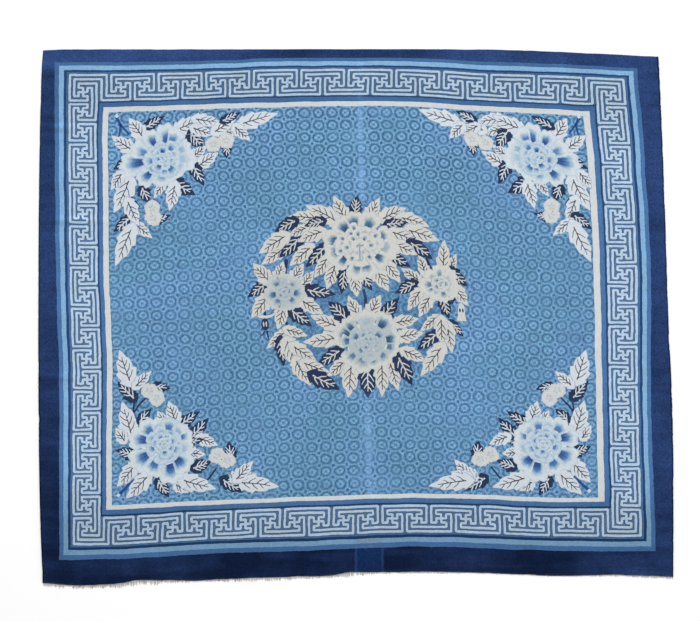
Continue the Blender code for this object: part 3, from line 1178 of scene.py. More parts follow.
def weave_fret():
    """The fret's light lines, each over a wider dark one: partly an outline in the weave, partly painted
    shade of the carving.
    """
    sizes = bpy.context.scene.rug_sizes
    outline, light = bmesh.new(), bmesh.new()
    for number, stroke in enumerate(fret_strokes()):
        route = rounded_route([fret_place(*point) for point in stroke], FRET_CORNER)
        lift = LINE_STEP * (number % TURNS)
        # The dark line: partly outline wool, partly painted shade of the carved fret.
        draw_line(outline, route, sizes.fret_outline, OUTLINE_LEVEL + lift)
        draw_line(light, route, sizes.fret_line, FRET_LEVEL + lift, clipped=True)
    return [weave_in("fret_outline", outline, "fret_outline"), weave_in("fret_lines", light, "fret_light")]


# ---------------------------------------------------------------- leaves and stems
IVORY, NAVY, BLUE = "ivory", "navy", "blue"
# A leaf in centimetres: its foot, the way it points in degrees, its length and width, its wool,
# and how far it curls in degrees.
Leaf = namedtuple("Leaf", "u v points length width wool curl", defaults=(IVORY, 0))


def leaves(*rows):
    """A group of leaves, from a row of each one's measures; most are ivory and don't curl."""
    return [Leaf(*row) for row in rows]


MEDALLION = (0.031, 0.013)  # the medallion's middle, from the middle of the field
UPPER_FLOWER_LEAVES = leaves(
    (-1, 40.5, 80, 9, 6, NAVY), (-5.5, 37.5, 115, 13, 6.5, IVORY, 5),
    (-9.5, 36.5, 150, 17.5, 7.5, IVORY, 15), (-19, 38.5, 175, 14.5, 6, IVORY, 15),
    (-30, 37.5, -155, 11.5, 6, NAVY, 10), (-16.5, 37.2, -166, 9.5, 5.5, NAVY, 8),
    (-16.5, 32, -160, 13.5, 6.5, IVORY, 10), (-34.5, 30.5, -148, 16, 7.5, IVORY, 8),
    (-35.5, 24.5, -145, 14, 6), (-28, 29, -138, 14, 7, NAVY),
    (-22.5, 24.5, -140, 14, 6.5), (-15.5, 24.5, -135, 14, 6, NAVY),
    (-15, 18.5, -125, 11, 5.5), (-11, 16, -110, 13, 7),
    (-6.5, 12.5, -100, 11.5, 6, NAVY), (-2, 11, -85, 11.5, 6.5),
    (5.5, 37.5, 60, 12, 6.5, IVORY, -5), (12, 37.5, 25, 13.5, 7, IVORY, -15),
    (21, 38.5, -15, 15, 6.5, IVORY, -15), (14.5, 35.2, 5, 10.5, 5, NAVY, -5),
    (24, 32.5, -17, 17, 7.5, IVORY, -12), (16.5, 31.5, -20, 14.5, 6, IVORY, -10),
    (25.5, 26.5, -36, 14, 6.5, NAVY, -6), (16.5, 26, -25, 14, 6.5, IVORY, -5),
    (14.5, 20.5, -30, 13, 6, NAVY), (13.5, 16.5, -55, 12.5, 6), (8.5, 13, -60, 12.5, 7),
    (1, 12, -60, 11, 6.5, NAVY), (-25, 33.8, -158, 9.5, 5),
)
LEFT_FLOWER_LEAVES = leaves(
    (-43.5, 8, 130, 12, 7), (-39.5, 9, 70, 9, 5.5), (-32, 8.5, 55, 9.5, 6),
    (-27.5, 5.5, 50, 9.5, 5), (-44.5, 7.5, -145, 12, 6, NAVY),
    (-26, 3.5, -10, 15, 6.5, NAVY), (-44.5, 0.5, -130, 13, 7), (-37, -4, -105, 11.5, 6.5),
    (-28, -1.5, -35, 12.5, 6.5), (-33.5, -6, -40, 13, 6.5, NAVY),
)
LEFT_SPRAY_LEAVES = leaves(
    (-36, -15.5, -20, 10.5, 5), (-37, -17, -140, 11.5, 5),
    (-39, -20, -85, 13.5, 6, NAVY), (-36, -20.5, -70, 14.5, 8, IVORY, 10),
    (-33.5, -23.5, -35, 15, 6.5), (-32, -30.5, -60, 14.5, 7, IVORY, 10),
    (-28.5, -32, -20, 14, 5.5), (-24.5, -37.5, -30, 16.5, 7.5, NAVY),
)
LOWER_FLOWER_LEAVES = leaves(
    (-6.5, -11, 135, 12, 7.5, NAVY), (-0.5, -10, 115, 11, 6), (-11, -15, 155, 14, 6.5),
    (-10.5, -20.5, -175, 17.5, 7), (-9.5, -26.5, -150, 13.5, 6.5, NAVY),
    (-8, -32, -140, 11, 5.5), (-4.5, -33, -95, 16.5, 8.5), (3.5, -34.5, -90, 15.5, 8.5, NAVY),
    (10.5, -33, -90, 16.5, 7), (14.5, -32.5, -75, 14.5, 6.5), (18.5, -29.5, -65, 16, 7.5, NAVY),
    (21, -27, -25, 12.5, 5.5), (19, -20.5, 10, 12.5, 6.5), (17.5, -13.5, 10, 11.5, 6),
    (10, -12.5, 50, 15, 7, NAVY), (5, -10, 60, 11.5, 7),
)
RIGHT_FLOWER_LEAVES = leaves(
    (41.5, 13, 85, 15, 6), (44.5, 13, 65, 9, 4.5), (44.5, 13, -40, 11.5, 6.5, NAVY),
    (33, 10.5, 105, 10.5, 5), (29.5, 7.5, 145, 10, 5), (28, 6, -155, 11, 6, NAVY),
    (30.5, 2.5, -125, 12, 6), (35, -0.5, -120, 11.5, 6), (41, -0.5, -75, 11, 5.5, NAVY),
    (47, 5, -55, 11, 6.5),
)
RIGHT_SPRAY_LEAVES = leaves(
    (38, -10.5, -140, 11, 4.5), (38.5, -18, -140, 14, 6, NAVY),
    (44.5, -13, -45, 9, 4.5, NAVY), (42.5, -13.5, -80, 14.5, 6, IVORY, -10),
    (40, -11, -90, 13, 6), (40.5, -24, -125, 19, 7.5, IVORY, -5),
)
# A corner spray, from the inner corner of the ivory line: u along the head, v down the side.
CORNER_LEAVES = leaves(
    (17, 12.5, -125, 11.5, 7), (18.5, 8, -30, 11, 5, NAVY), (12.5, 19, -145, 13, 6.5),
    (12.5, 22.5, 150, 11.5, 5.5, NAVY), (33.5, 10, -25, 15.5, 7.5, IVORY, -15),
    (43, 4.5, 10, 13.5, 6, IVORY, -15), (42, 9, 20, 11.5, 5, IVORY, -10),
    (52.5, 11.5, -30, 12.5, 6), (57, 6, -25, 9.5, 4.5, NAVY), (65, 8, -15, 20, 7),
    (55.5, 9, 30, 9, 5), (63, 9, 45, 10, 5.5), (41, 11.5, 50, 9.5, 7, NAVY),
    (59, 18.5, 95, 6, 4.5, NAVY), (42, 23, -35, 8.5, 5), (44.5, 27.5, -30, 11.5, 6),
    (41.5, 26.5, 65, 12.5, 6, NAVY), (30.5, 35, 30, 14, 7.5, NAVY), (32.7, 36.5, 103, 13, 6.5),
    (27, 35, 120, 9, 4.5), (16.5, 38, 65, 8, 6, NAVY), (22, 54.5, -20, 9, 4.5, NAVY),
    (10.5, 32.5, 115, 18.5, 8.5, IVORY, 10), (6.5, 30.5, 125, 9, 5.5), (9, 43.5, 65, 14, 6),
    (10.5, 52, 140, 10.5, 5.5, NAVY), (12.5, 55, 40, 11.5, 5), (12, 56, 115, 21, 8),
)
FOOT_LEAVES = leaves(
    (18, 9.5, -137, 15, 7.5), (11.3, 14.8, -132, 13, 7), (10.5, 19.6, 160, 9, 5.5, NAVY),
    (22.8, 7.2, -60, 10, 5.8, NAVY), (31.6, 4.5, -35, 7, 5.5), (33.5, 7, -18, 18, 7.5),
    (9.5, 29, 106, 17, 8.5), (6, 27, 125, 7.5, 5), (13.5, 35.7, 46, 8, 5, NAVY),
    (10.7, 46.4, 132, 12, 6, NAVY), (8.7, 54.2, 108, 17, 8.5), (11.1, 52.5, 42, 10.5, 5),
    (21, 52.3, -12, 7.5, 4.8, NAVY), (25.5, 35.5, 125, 5.8, 4), (33, 32.6, 34, 11.8, 5.5, NAVY),
    (31, 34.5, 108, 10.8, 6.8), (38, 24.5, 8, 7, 3.5, NAVY), (38.6, 26.3, 48, 12.8, 6, NAVY),
    (42.6, 26.6, -25, 10, 5.5), (38.2, 19.3, -8, 7.2, 4.8), (39.8, 12, 18, 8.8, 6, NAVY),
    (58, 16.6, 97, 7.4, 5.8, NAVY), (54, 6, -35, 11.5, 6, NAVY), (59.8, 5.6, 100, 4.5, 4.5),
    (60.5, 5.6, 46, 11.8, 5.8), (61.5, 5.8, 14, 9.5, 5), (61.1, 4.4, -8, 20.5, 7.5, IVORY, -6),
)
# How each corner spray's weaver set it off from its mirror image, in metres: its side and end,
# then how much further in it lies across and along.
Setting = namedtuple("Setting", "side end inward_u inward_v")
CORNER_SETTINGS = (
    Setting(-1, 1, 0.0, 0.0), Setting(1, 1, -0.020, -0.015),
    Setting(-1, -1, 0.0, 0.035), Setting(1, -1, 0.010, 0.020),
)
LEAF_TUCK = 2.0  # how far a leaf's foot lies under its flower or stem, in centimetres
LEAF_CUT_SHADE_WIDTH = 0.0022  # how far the painted shade of a leaf's carved cut shows beyond its blade
LEAF_TIP = 0.0010  # half its width at the very tip
LEAF_FULLNESS = 1.05  # how much wider than its body a leaf's teeth make it
LEAF_ROWS, LEAF_COLUMNS = 24, 2
LEAF_BELLY = 0.72  # how near its foot a leaf is widest: 1 is half way up
TEETH, TOOTH_START = 3.8, 0.10  # how many teeth a leaf's side has, and how much of one is at its foot
TOOTH_FOOT, TOOTH_DEPTH = 0.85, 0.38  # a leaf's width at a tooth's foot, and how much a tooth adds
VEIN_STARTS = (0.28, 0.46, 0.64)  # how far up the leaf each pair of side veins starts
VEIN_REACHES = (0.72, 0.68, 0.46)  # how far across the leaf each pair reaches
SHORT_LEAF = 8.5  # below this length, in centimetres, a leaf has one pair of veins fewer
LIGHT_VEIN = 1.25  # how much wider the veins on navy leaves are
RIB_SHARES, RIB_TAPER = (0.18, 0.36, 0.58, 0.82), 0.55  # where along the leaf the rib runs
VEIN_SHARE, VEIN_TAPER = 0.86, 0.6  # a side vein's width beside the rib's, and how much is left of it
VEIN_STAGGER = 0.05  # how far up the leaf a pair's right vein starts, and down it its left one
# How far out and up a side vein bends and ends, as shares of its reach.
Lean = namedtuple("Lean", "out up")
VEIN_BEND, VEIN_END = Lean(0.55, 0.50), Lean(1.0, 1.25)


class Placing:
    """Where a group of motifs goes: an origin, and which way each of its axes runs."""

    def __init__(self, origin, across=1, along=1):
        self.origin, self.across, self.along = origin, across, along

    def point(self, u, v):
        """A place drawn in centimetres, in metres on the rug."""
        return np.array([self.origin[0] + self.across * u * CM, self.origin[1] + self.along * v * CM])

    def way(self, angle):
        """The way an angle points on the rug."""
        return np.array([self.across * math.cos(angle), self.along * math.sin(angle)])


def corner_placings():
    """The four corner sprays: mirror images, each set a little differently by its weaver."""
    return [
        Placing((setting.side * (INNER_HALF[0] - setting.inward_u),
                 setting.end * (INNER_HALF[1] - setting.inward_v)), -setting.side, -setting.end)
        for setting in CORNER_SETTINGS
    ]


def corner_motifs(head, foot):
    """Each motif of the corner sprays with its placing: the head's two sprays, and the foot's two."""
    return [
        (motif, placing)
        for placing in corner_placings()
        for motif in (foot if placing.along > 0 else head)
    ]


def leaf_rib(leaf, placing, share):
    """A point of the leaf's rib, and the way the rib runs there."""
    start = math.radians(leaf.points - leaf.curl / 2)
    turn = start + math.radians(leaf.curl) * share
    foot = placing.point(leaf.u, leaf.v) - placing.way(start) * LEAF_TUCK * CM
    chord = placing.way((start + turn) / 2)
    return foot + chord * (leaf.length + LEAF_TUCK) * CM * share, placing.way(turn)


def leaf_half_width(share):
    """A toothed, pointed leaf: its half width along the rib, as a share of its greatest."""
    body = math.sin(math.pi * min(share, 0.999) ** LEAF_BELLY)
    tooth = (share * TEETH + TOOTH_START) % 1.0
    return body * (TOOTH_FOOT + TOOTH_DEPTH * tooth)


def draw_leaf(shape, leaf, placing, level, wider=0.0):
    """A leaf's blade, or the slightly wider shape round it that shows as the painted shade of its carved cut.
    """
    def place(s, t):
        share = (s + 1) / 2
        point, way = leaf_rib(leaf, placing, share)
        half = leaf.width / 2 * CM * LEAF_FULLNESS * leaf_half_width(share) + LEAF_TIP + wider
        u, v = point + np.array([-way[1], way[0]]) * half * t + way * wider * s
        return u, v, level, 1.0

    draw_patch(shape, LEAF_ROWS, LEAF_COLUMNS, place)


def draw_veins(shape, leaf, placing, level):
    """The rib, and pairs of curved side veins that lean towards the tip."""
    width = bpy.context.scene.rug_sizes.vein * (LIGHT_VEIN if leaf.wool == NAVY else 1.0)
    rib = [leaf_rib(leaf, placing, share)[0] for share in RIB_SHARES]
    draw_line(shape, rib, width, level, taper=RIB_TAPER)
    pairs = len(VEIN_STARTS) - (leaf.length < SHORT_LEAF)
    for share, share_across in zip(VEIN_STARTS[:pairs], VEIN_REACHES[:pairs]):
        for side in (-1, 1):
            start, way = leaf_rib(leaf, placing, share + VEIN_STAGGER * side)
            across = np.array([-way[1], way[0]]) * side
            reach = leaf.width / 2 * CM * share_across
            bend, end = (start + across * reach * lean.out + way * reach * lean.up
                         for lean in (VEIN_BEND, VEIN_END))
            draw_line(shape, [start, bend, end], width * VEIN_SHARE, level, taper=VEIN_TAPER)


def all_leaves():
    """Every leaf with its placing."""
    medallion = Placing(MEDALLION)
    for group in (UPPER_FLOWER_LEAVES, LEFT_FLOWER_LEAVES, LEFT_SPRAY_LEAVES,
                  LOWER_FLOWER_LEAVES, RIGHT_FLOWER_LEAVES, RIGHT_SPRAY_LEAVES):
        for leaf in group:
            yield leaf, medallion
    yield from corner_motifs(CORNER_LEAVES, FOOT_LEAVES)


def weave_leaves():
    """Every leaf: the painted shade of its carved cut, its blade, and its veins in the other wool."""
    blades = {wool: bmesh.new() for wool in (IVORY, NAVY)}
    veins = {wool: bmesh.new() for wool in (IVORY, NAVY)}
    edges = bmesh.new()
    for number, (leaf, placing) in enumerate(all_leaves()):
        level = LEAF_LEVEL + LEAF_STEP * (number % LEAF_LEVELS)
        draw_leaf(blades[leaf.wool], leaf, placing, level)
        if leaf.wool == IVORY:
            # Painted shade: a greyer rim round each ivory leaf, where its carved cut is.
            draw_leaf(edges, leaf, placing, level - EDGE_BELOW, wider=LEAF_CUT_SHADE_WIDTH)
        draw_veins(veins[leaf.wool], leaf, placing, level + VEIN_ABOVE)
    return [
        weave_in("leaf_edges", edges, "leaf_edge"),
        weave_in("ivory_leaves", blades[IVORY], "leaf_ivory"),
        weave_in("navy_leaves", blades[NAVY], "leaf_navy"),
        weave_in("dark_veins", veins[IVORY], "vein_dark"),
        weave_in("ivory_veins", veins[NAVY], "leaf_ivory"),
    ]


# A stem or twig in centimetres: the points it runs through, its width, how much of that is left at
# its end, and its wool.
Stem = namedtuple("Stem", "route width taper wool")
MEDALLION_STEMS = (
    Stem(((-35.8, -11.8), (-35.4, -18.0), (-33.8, -24.0)), 1.1, 0.8, NAVY),
    Stem(((-34.8, 18.6), (-35.4, 13.5), (-35.5, 8.0)), 1.8, 0.5, NAVY),
    Stem(((2.4, 3.2), (3.2, -1.5), (3.4, -6.0)), 1.2, 1.4, NAVY),
    Stem(((33.5, 18.5), (35.0, 15.5), (36.6, 12.0)), 1.4, 0.7, NAVY),
    Stem(((40.8, -5.0), (40.6, -12.0)), 1.0, 0.8, NAVY),
    Stem(((-45.6, -16.0), (-45.2, -18.6), (-44.6, -21.2)), 1.0, 0.3, NAVY),
    Stem(((-46.8, -16.0), (-47.8, -17.8), (-48.8, -18.8)), 0.8, 0.3, NAVY),
    Stem(((-46.2, -9.6), (-46.2, -6.6)), 1.2, 1.0, NAVY),
    Stem(((-50.2, -8.0), (-48.2, -9.0), (-45.8, -9.3), (-43.4, -8.8), (-41.2, -7.8)), 1.7, 0.6, IVORY),
    Stem(((45.2, -3.6), (46.2, -1.8), (48.2, -0.9), (50.8, -1.0), (52.8, -3.6)), 1.3, 0.8, NAVY),
)
CORNER_STEMS = (
    Stem(((4.0, 2.6), (5.4, 4.8), (6.2, 6.6), (5.6, 11.5)), 1.5, 0.6, BLUE),
    Stem(((5.8, 5.6), (7.6, 7.8), (10.4, 11.0)), 1.2, 0.7, BLUE),
    Stem(((3.6, 1.4), (4.8, 2.4)), 1.7, 0.8, IVORY),
    Stem(((48.0, 6.0), (51.0, 8.5), (54.0, 12.0)), 1.0, 0.8, NAVY),
    Stem(((8.0, 37.0), (11.0, 42.0), (15.0, 47.0)), 1.0, 0.8, NAVY),
)
FOOT_STEMS = (
    Stem(((3.4, 1.0), (8.0, 5.5), (14.5, 10.5)), 1.5, 0.6, BLUE),
    Stem(((2.8, 0.2), (3.8, 1.4)), 1.7, 0.8, IVORY),
    Stem(((44.5, 5.0), (47.5, 7.0), (51.0, 11.5)), 1.0, 0.8, NAVY),
    Stem(((9.8, 39.0), (12.5, 43.0), (16.4, 46.8)), 0.9, 0.8, NAVY),
    Stem(((10.7, 47.0), (10.2, 40.0)), 0.9, 0.8, NAVY),
)
# A bud in centimetres: its middle, half its size, how open its foot is, from 0 to 1, its wool, and
# its slits: their places across and their height, and half their size.
Bud = namedtuple("Bud", "u v across along flare wool slits slit_v slit_half")
BUDS = (
    Bud(50.1, -7.5, 1.8, 4.5, 1.0, IVORY, (-0.75, 0.75), 0.9, (0.42, 0.95)),
    Bud(-46.3, -12.8, 1.85, 3.0, 0.0, NAVY, (-0.66, 0.66), 0.1, (0.36, 1.35)),
)
BUD_STEPS = 12
BUD_TIP, BUD_FULLNESS = 0.02, 2.4  # how blunt its ends are, and how square its shoulders
FLARE = 0.35  # how much wider than its middle an open foot is
SLIT_STEPS = 4


def draw_bud(shape, bud, placing):
    """An upright bud, round at the top, and at its foot either round or open and flared."""
    def place(s, t):
        closed = math.sqrt(max(BUD_TIP, 1 - abs(t) ** BUD_FULLNESS))
        wide = closed if t > 0 else closed + bud.flare * (1 + FLARE * t * t - closed)
        u, v = placing.point(bud.u + bud.across * s * wide, bud.v + bud.along * t)
        return u, v, BUD_LEVEL, 1.0

    draw_patch(shape, BUD_STEPS, BUD_STEPS, place)


def weave_stems():
    """The navy stems, the corners' blue twigs, and their ivory tips."""
    shapes = {wool: bmesh.new() for wool in (IVORY, NAVY, BLUE)}
    placed = [(stem, Placing(MEDALLION)) for stem in MEDALLION_STEMS]
    placed += corner_motifs(CORNER_STEMS, FOOT_STEMS)
    for stem, placing in placed:
        lift = STEM_LEVEL + (VEIN_ABOVE if stem.wool == IVORY else 0.0)
        draw_line(shapes[stem.wool], [placing.point(*point) for point in stem.route],
                  stem.width * CM, lift, taper=stem.taper)
    return [weave_in("navy_stems", shapes[NAVY], "leaf_navy"),
            weave_in("blue_twigs", shapes[BLUE], "twig_blue"),
            weave_in("ivory_stem_tips", shapes[IVORY], "leaf_ivory")]


def weave_buds():
    """The two buds, each with a pair of slits in the other wool."""
    shapes = {wool: bmesh.new() for wool in (IVORY, NAVY)}
    medallion = Placing(MEDALLION)
    for bud in BUDS:
        draw_bud(shapes[bud.wool], bud, medallion)
        other = NAVY if bud.wool == IVORY else IVORY
        for slit in bud.slits:
            draw_disc(shapes[other], medallion.point(bud.u + slit, bud.v + bud.slit_v),
                      [half * CM for half in bud.slit_half], BUD_LEVEL + VEIN_ABOVE, SLIT_STEPS)
    return [weave_in("ivory_buds", shapes[IVORY], "leaf_ivory"),
            weave_in("navy_buds", shapes[NAVY], "leaf_navy")]


# ---------------------------------------------------------------- flowers
# A petal in centimetres and degrees: the way it points from its flower's middle, where its foot
# is, how far it reaches, and how deep its blue is.
Petal = namedtuple("Petal", "points foot reach blue")


def petals(*rows):
    """A flower's petals, from a row of each one's measures."""
    return [Petal(*row) for row in rows]


CORNER_PEONY = petals(
    (-118, 8.0, 17.0, 1.00), (-86, 8.0, 16.5, 0.95), (-57, 8.5, 17.0, 0.80), (-28, 8.5, 16.0, 0.50),
    (0, 8.5, 15.5, 0.30), (30, 8.5, 13.8, 0.30), (62, 8.0, 12.2, 0.40), (98, 8.0, 13.0, 0.60),
    (137, 9.0, 18.5, 1.10), (168, 9.8, 20.5, 1.15), (-156, 8.5, 17.0, 0.70), (-100, 5.0, 9.8, 0.70),
    (-59, 5.0, 10.0, 0.80), (-15, 4.5, 9.5, 0.50), (20, 4.5, 9.5, 0.50), (51, 5.0, 9.8, 0.90),
    (90, 5.0, 10.0, 0.70), (132, 5.5, 10.0, 1.00), (175, 5.0, 9.8, 0.70), (-140, 5.0, 9.8, 0.60),
)
FOOT_PEONY = petals(
    (168, 8.5, 18.0, 1.05), (135, 8.5, 16.0, 0.85), (-150, 9.5, 18.5, 0.95), (-113, 9.0, 17.5, 0.90),
    (-80, 10.0, 19.0, 1.00), (-47, 9.5, 17.5, 1.00), (-15, 8.5, 15.5, 0.40), (16, 7.5, 13.8, 0.85),
    (46, 7.5, 13.5, 0.50), (78, 7.0, 13.5, 0.80), (106, 7.5, 14.0, 0.55), (150, 5.0, 9.8, 0.75),
    (105, 5.0, 9.5, 0.60), (62, 4.5, 9.0, 0.85), (20, 4.5, 9.0, 0.55), (-25, 5.0, 9.8, 0.70),
    (-65, 5.0, 10.0, 0.95), (-108, 5.0, 9.8, 0.60), (-155, 5.0, 9.8, 0.80),
)
UPPER_PEONY = petals(
    (134, 9.3, 17.5, 1.00), (102, 9.8, 17.0, 1.15), (64, 8.2, 17.0, 1.00), (26, 10.3, 17.5, 0.85),
    (165, 10.6, 18.0, 1.00), (-162, 10.3, 17.5, 0.75), (-136, 9.3, 17.0, 1.00),
    (-103, 8.2, 17.0, 0.90), (-70, 8.2, 17.0, 0.90), (-35, 9.6, 17.5, 1.00), (-10, 10.6, 18.0, 0.45),
)
LOWER_PEONY = petals(
    (133, 9.5, 16.5, 1.00), (162, 10.0, 17.0, 1.00), (177, 9.5, 16.0, 0.90), (45, 9.5, 16.5, 1.00),
    (15, 9.0, 16.0, 1.00), (-13, 9.5, 16.5, 0.80), (90, 8.5, 15.0, 0.40), (-36, 8.5, 15.5, 0.70),
    (-145, 8.5, 15.5, 0.80), (-109, 7.5, 14.5, 0.70), (-73, 7.5, 14.5, 0.80), (144, 5.5, 10.5, 0.90),
    (40, 5.0, 9.5, 0.90), (0, 5.0, 9.5, 0.50), (180, 5.0, 9.5, 0.50), (90, 5.0, 9.5, 0.50),
    (-45, 5.0, 9.5, 0.45), (-90, 5.0, 9.5, 0.40), (-135, 5.0, 9.5, 0.45),
)
LEFT_BLOSSOM = petals(
    (135, 3.5, 10.0, 0.80), (41, 3.5, 10.0, 0.70), (-8, 3.5, 10.5, 1.00), (-48, 3.5, 10.0, 0.85),
    (-130, 3.5, 10.0, 0.80), (-167, 3.5, 10.5, 1.00), (90, 3.5, 9.5, 0.35), (-90, 3.5, 9.5, 0.30),
)
RIGHT_BLOSSOM = petals(
    (-148, 3.5, 10.0, 0.80), (-78, 3.5, 9.5, 0.75), (-175, 3.5, 10.5, 0.80), (145, 3.5, 10.0, 0.55),
    (90, 3.5, 9.5, 0.65), (45, 3.5, 9.5, 0.30), (0, 3.5, 9.5, 0.20), (-40, 3.5, 9.5, 0.25),
    (-112, 3.5, 9.5, 0.35),
)
WHITE_BLOSSOM = tuple(Petal(angle, 0.5, 4.2, 0.25) for angle in (-90, -18, 54, 126, 198))
# Rings of small petals that fill a flower's heart, in centimetres and degrees: how many, where
# their feet are, how far they reach, the way the first points, and how deep their blue is.
Ring = namedtuple("Ring", "count foot reach first blue")
CORNER_HEART = (Ring(7, 3.0, 6.8, 15, 0.72), Ring(5, 1.0, 4.2, 40, 0.58), Ring(3, 0.1, 2.0, 0, 0.50))
UPPER_HEART = (Ring(11, 7.4, 11.6, 5, 0.32), Ring(8, 3.8, 8.6, 25, 0.28), Ring(5, 0.3, 5.0, 0, 0.26))
LOWER_HEART = (Ring(7, 3.6, 7.4, 20, 0.72), Ring(6, 1.4, 4.9, 0, 0.62), Ring(3, 0.1, 2.5, 45, 0.55))
BLOSSOM_HEART = (Ring(5, 1.4, 4.8, 0, 0.68), Ring(3, 0.1, 2.4, 45, 0.60))
# A flower in centimetres: its middle, its petals, the rings in its heart, how flat those are, how
# pale its petals get and then end, from 0 to 1, and how warm their ivory is, from 0 to 1.
Flower = namedtuple("Flower", "u v petals rings flat palest end warmth")


def white_blossoms(*middles):
    """The corners' small white flowers, which are all alike."""
    return [Flower(u, v, WHITE_BLOSSOM, (), 1.0, 0.95, 0.95, 0.7) for u, v in middles]


MEDALLION_FLOWERS = (
    Flower(1.2, 24.9, UPPER_PEONY, UPPER_HEART, 0.80, 1.00, 1.00, 1.0),
    Flower(4.0, -23.1, LOWER_PEONY, LOWER_HEART, 0.92, 0.79, 1.00, 1.0),
    Flower(-36.4, 2.6, LEFT_BLOSSOM, BLOSSOM_HEART, 1.0, 0.79, 0.86, 1.0),
    Flower(40.2, 6.2, RIGHT_BLOSSOM, BLOSSOM_HEART, 1.0, 0.93, 1.00, 1.0),
)
CORNER_FLOWERS = (
    Flower(27.2, 23.8, CORNER_PEONY, CORNER_HEART, 0.95, 0.86, 1.00, 0.0),
    *white_blossoms((52.2, 17.4), (58.7, 15.8), (21.4, 47.8), (21.8, 52.6)),
)
FOOT_FLOWERS = (
    Flower(25.5, 24.2, FOOT_PEONY, CORNER_HEART, 0.95, 0.86, 1.00, 0.0),
    *white_blossoms((51.2, 17.4), (56.2, 15.0), (18.2, 50.2), (21.8, 46.4)),
)
# Where the feet of the small petals on the upper flower's heart lie, in centimetres from its middle.
Dot = namedtuple("Dot", "u v")
HEART_DOTS = (
    Dot(-5.9, -1.1), Dot(-9.0, -2.8), Dot(-2.8, 2.8), Dot(2.2, 2.8), Dot(5.3, -0.3), Dot(-8.1, 3.1),
    Dot(-3.9, 5.3), Dot(-0.6, 5.0), Dot(-2.5, 8.1), Dot(-3.6, -6.2), Dot(4.5, -5.9), Dot(7.6, 4.2),
)
HEART_STEMS = (((0.0, 0.6), (0.0, -7.2)), ((-1.7, -0.2), (1.7, -0.2)))
HEART_LINE = 0.0065  # width of that stem
PETAL_SPREAD = 1.30  # how far petals overlap: half a petal's spread, over half its share of the ring
PETAL_GRID, SMALL_GRID = (12, 6), (8, 4)  # steps across a petal and along it
SMALL_PETAL = 6  # a petal that shows less of its length than this, in centimetres, is a small one
OUTER_SHARE = 0.7  # outer petals are those with their feet beyond this share of the furthest
BASE_SHARE, BASE_STEPS, BASE_SCALLOP = 0.60, 16, 0.04  # the base under a flower, beside its petals
LOBES, OUTER_SCALLOP, INNER_SCALLOP = 3, 0.08, 0.05  # how many lobes a petal's end has, and how deep
CORNER_REACH, MIDDLE_REACH, END_ROUND = 0.62, 0.38, 0.55  # how far a petal's end reaches, and how round
FOOT_WIDTH, END_WIDTH = 0.80, 0.20  # how wide a petal is at its foot, and what its end adds
TIP_PALES = (0.50, 0.90)  # where along an outer petal its tip's own tone comes in
OUTER_RIM, INNER_RIM, HEART_RIM, PLAIN_RIM = 0.82, 0.74, 0.70, 0.82  # the shades of petals' rims
STREAK, STREAKS_APART = 0.16, 6  # how much paler the streaks in a petal's blue are, and how close
# The blue fan at a petal's foot: where it starts to fade along the petal and, for its depth of blue,
# has gone; and the same from the petal's middle to its sides, for how far out it is.
FAN_FADES, FAN_GONE, FAN_DEEPER = 0.20, 0.46, 0.38
FAN_SIDE, FAN_WIDTH, FAN_WIDER = 0.38, 0.70, 0.26
RIM_SIDE, RIM_TIP = 0.9, 0.98  # beyond these shares of a petal its rim's shade shows
# How far petals are off their ring's even shape, and how far the small ones of a heart are.
SPREAD_WAVER, REACH_WAVER, POINTS_WAVER, LEAN_WAVER = 0.14, 0.06, 4.0, 0.22
HEART_REACH_WAVER, HEART_POINTS_WAVER, HEART_BLUE_WAVER, HEART_LEAN_WAVER = 0.14, 12, 0.40, 0.35
# How far the waver's two waves turn for each petal, and for each centimetre of the flower's place.
SLOW_TURNS, QUICK_TURNS, WAVER_PEAK = (2.4, 1.3), (4.1, 0.7), 1.6
# A petal on the upper flower's heart: how far it reaches in and out from its place, half its width,
# its blue, and its rim's shade.
DOT_INWARD, DOT_OUTWARD, DOT_HALF, DOT_BLUE, DOT_RIM = 0.5, 3.2, 1.7, 0.72, 0.86


def smooth(value, start, end):
    """A smooth step from 0 to 1 as value goes from start to end."""
    t = min(1.0, max(0.0, (value - start) / (end - start)))
    return t * t * (3 - 2 * t)


def petal_shade(blue, out, side, rim):
    """A petal's shade, from 0 at its deepest blue to 1 where it is ivory: a blue fan at its foot."""
    along = 1 - smooth(out, FAN_FADES, FAN_GONE + FAN_DEEPER * blue)
    across = 1 - smooth(abs(side), FAN_SIDE, FAN_WIDTH + FAN_WIDER * out)
    streaked = 1 - STREAK * (1 - math.cos(STREAKS_APART * math.pi * side)) / 2
    shade = 1 - min(1.0, blue) * (along * across) * streaked
    return min(shade, rim) if abs(side) > RIM_SIDE or out > RIM_TIP else min(shade, 1.0)


def waver(flower, number, size):
    """How far a petal is off its ring's even shape: two waves out of step, set by its flower's place."""
    slow = math.sin(SLOW_TURNS[0] * number + SLOW_TURNS[1] * flower.u)
    quick = math.sin(QUICK_TURNS[0] * number + QUICK_TURNS[1] * flower.v)
    return size * (slow + quick) / WAVER_PEAK


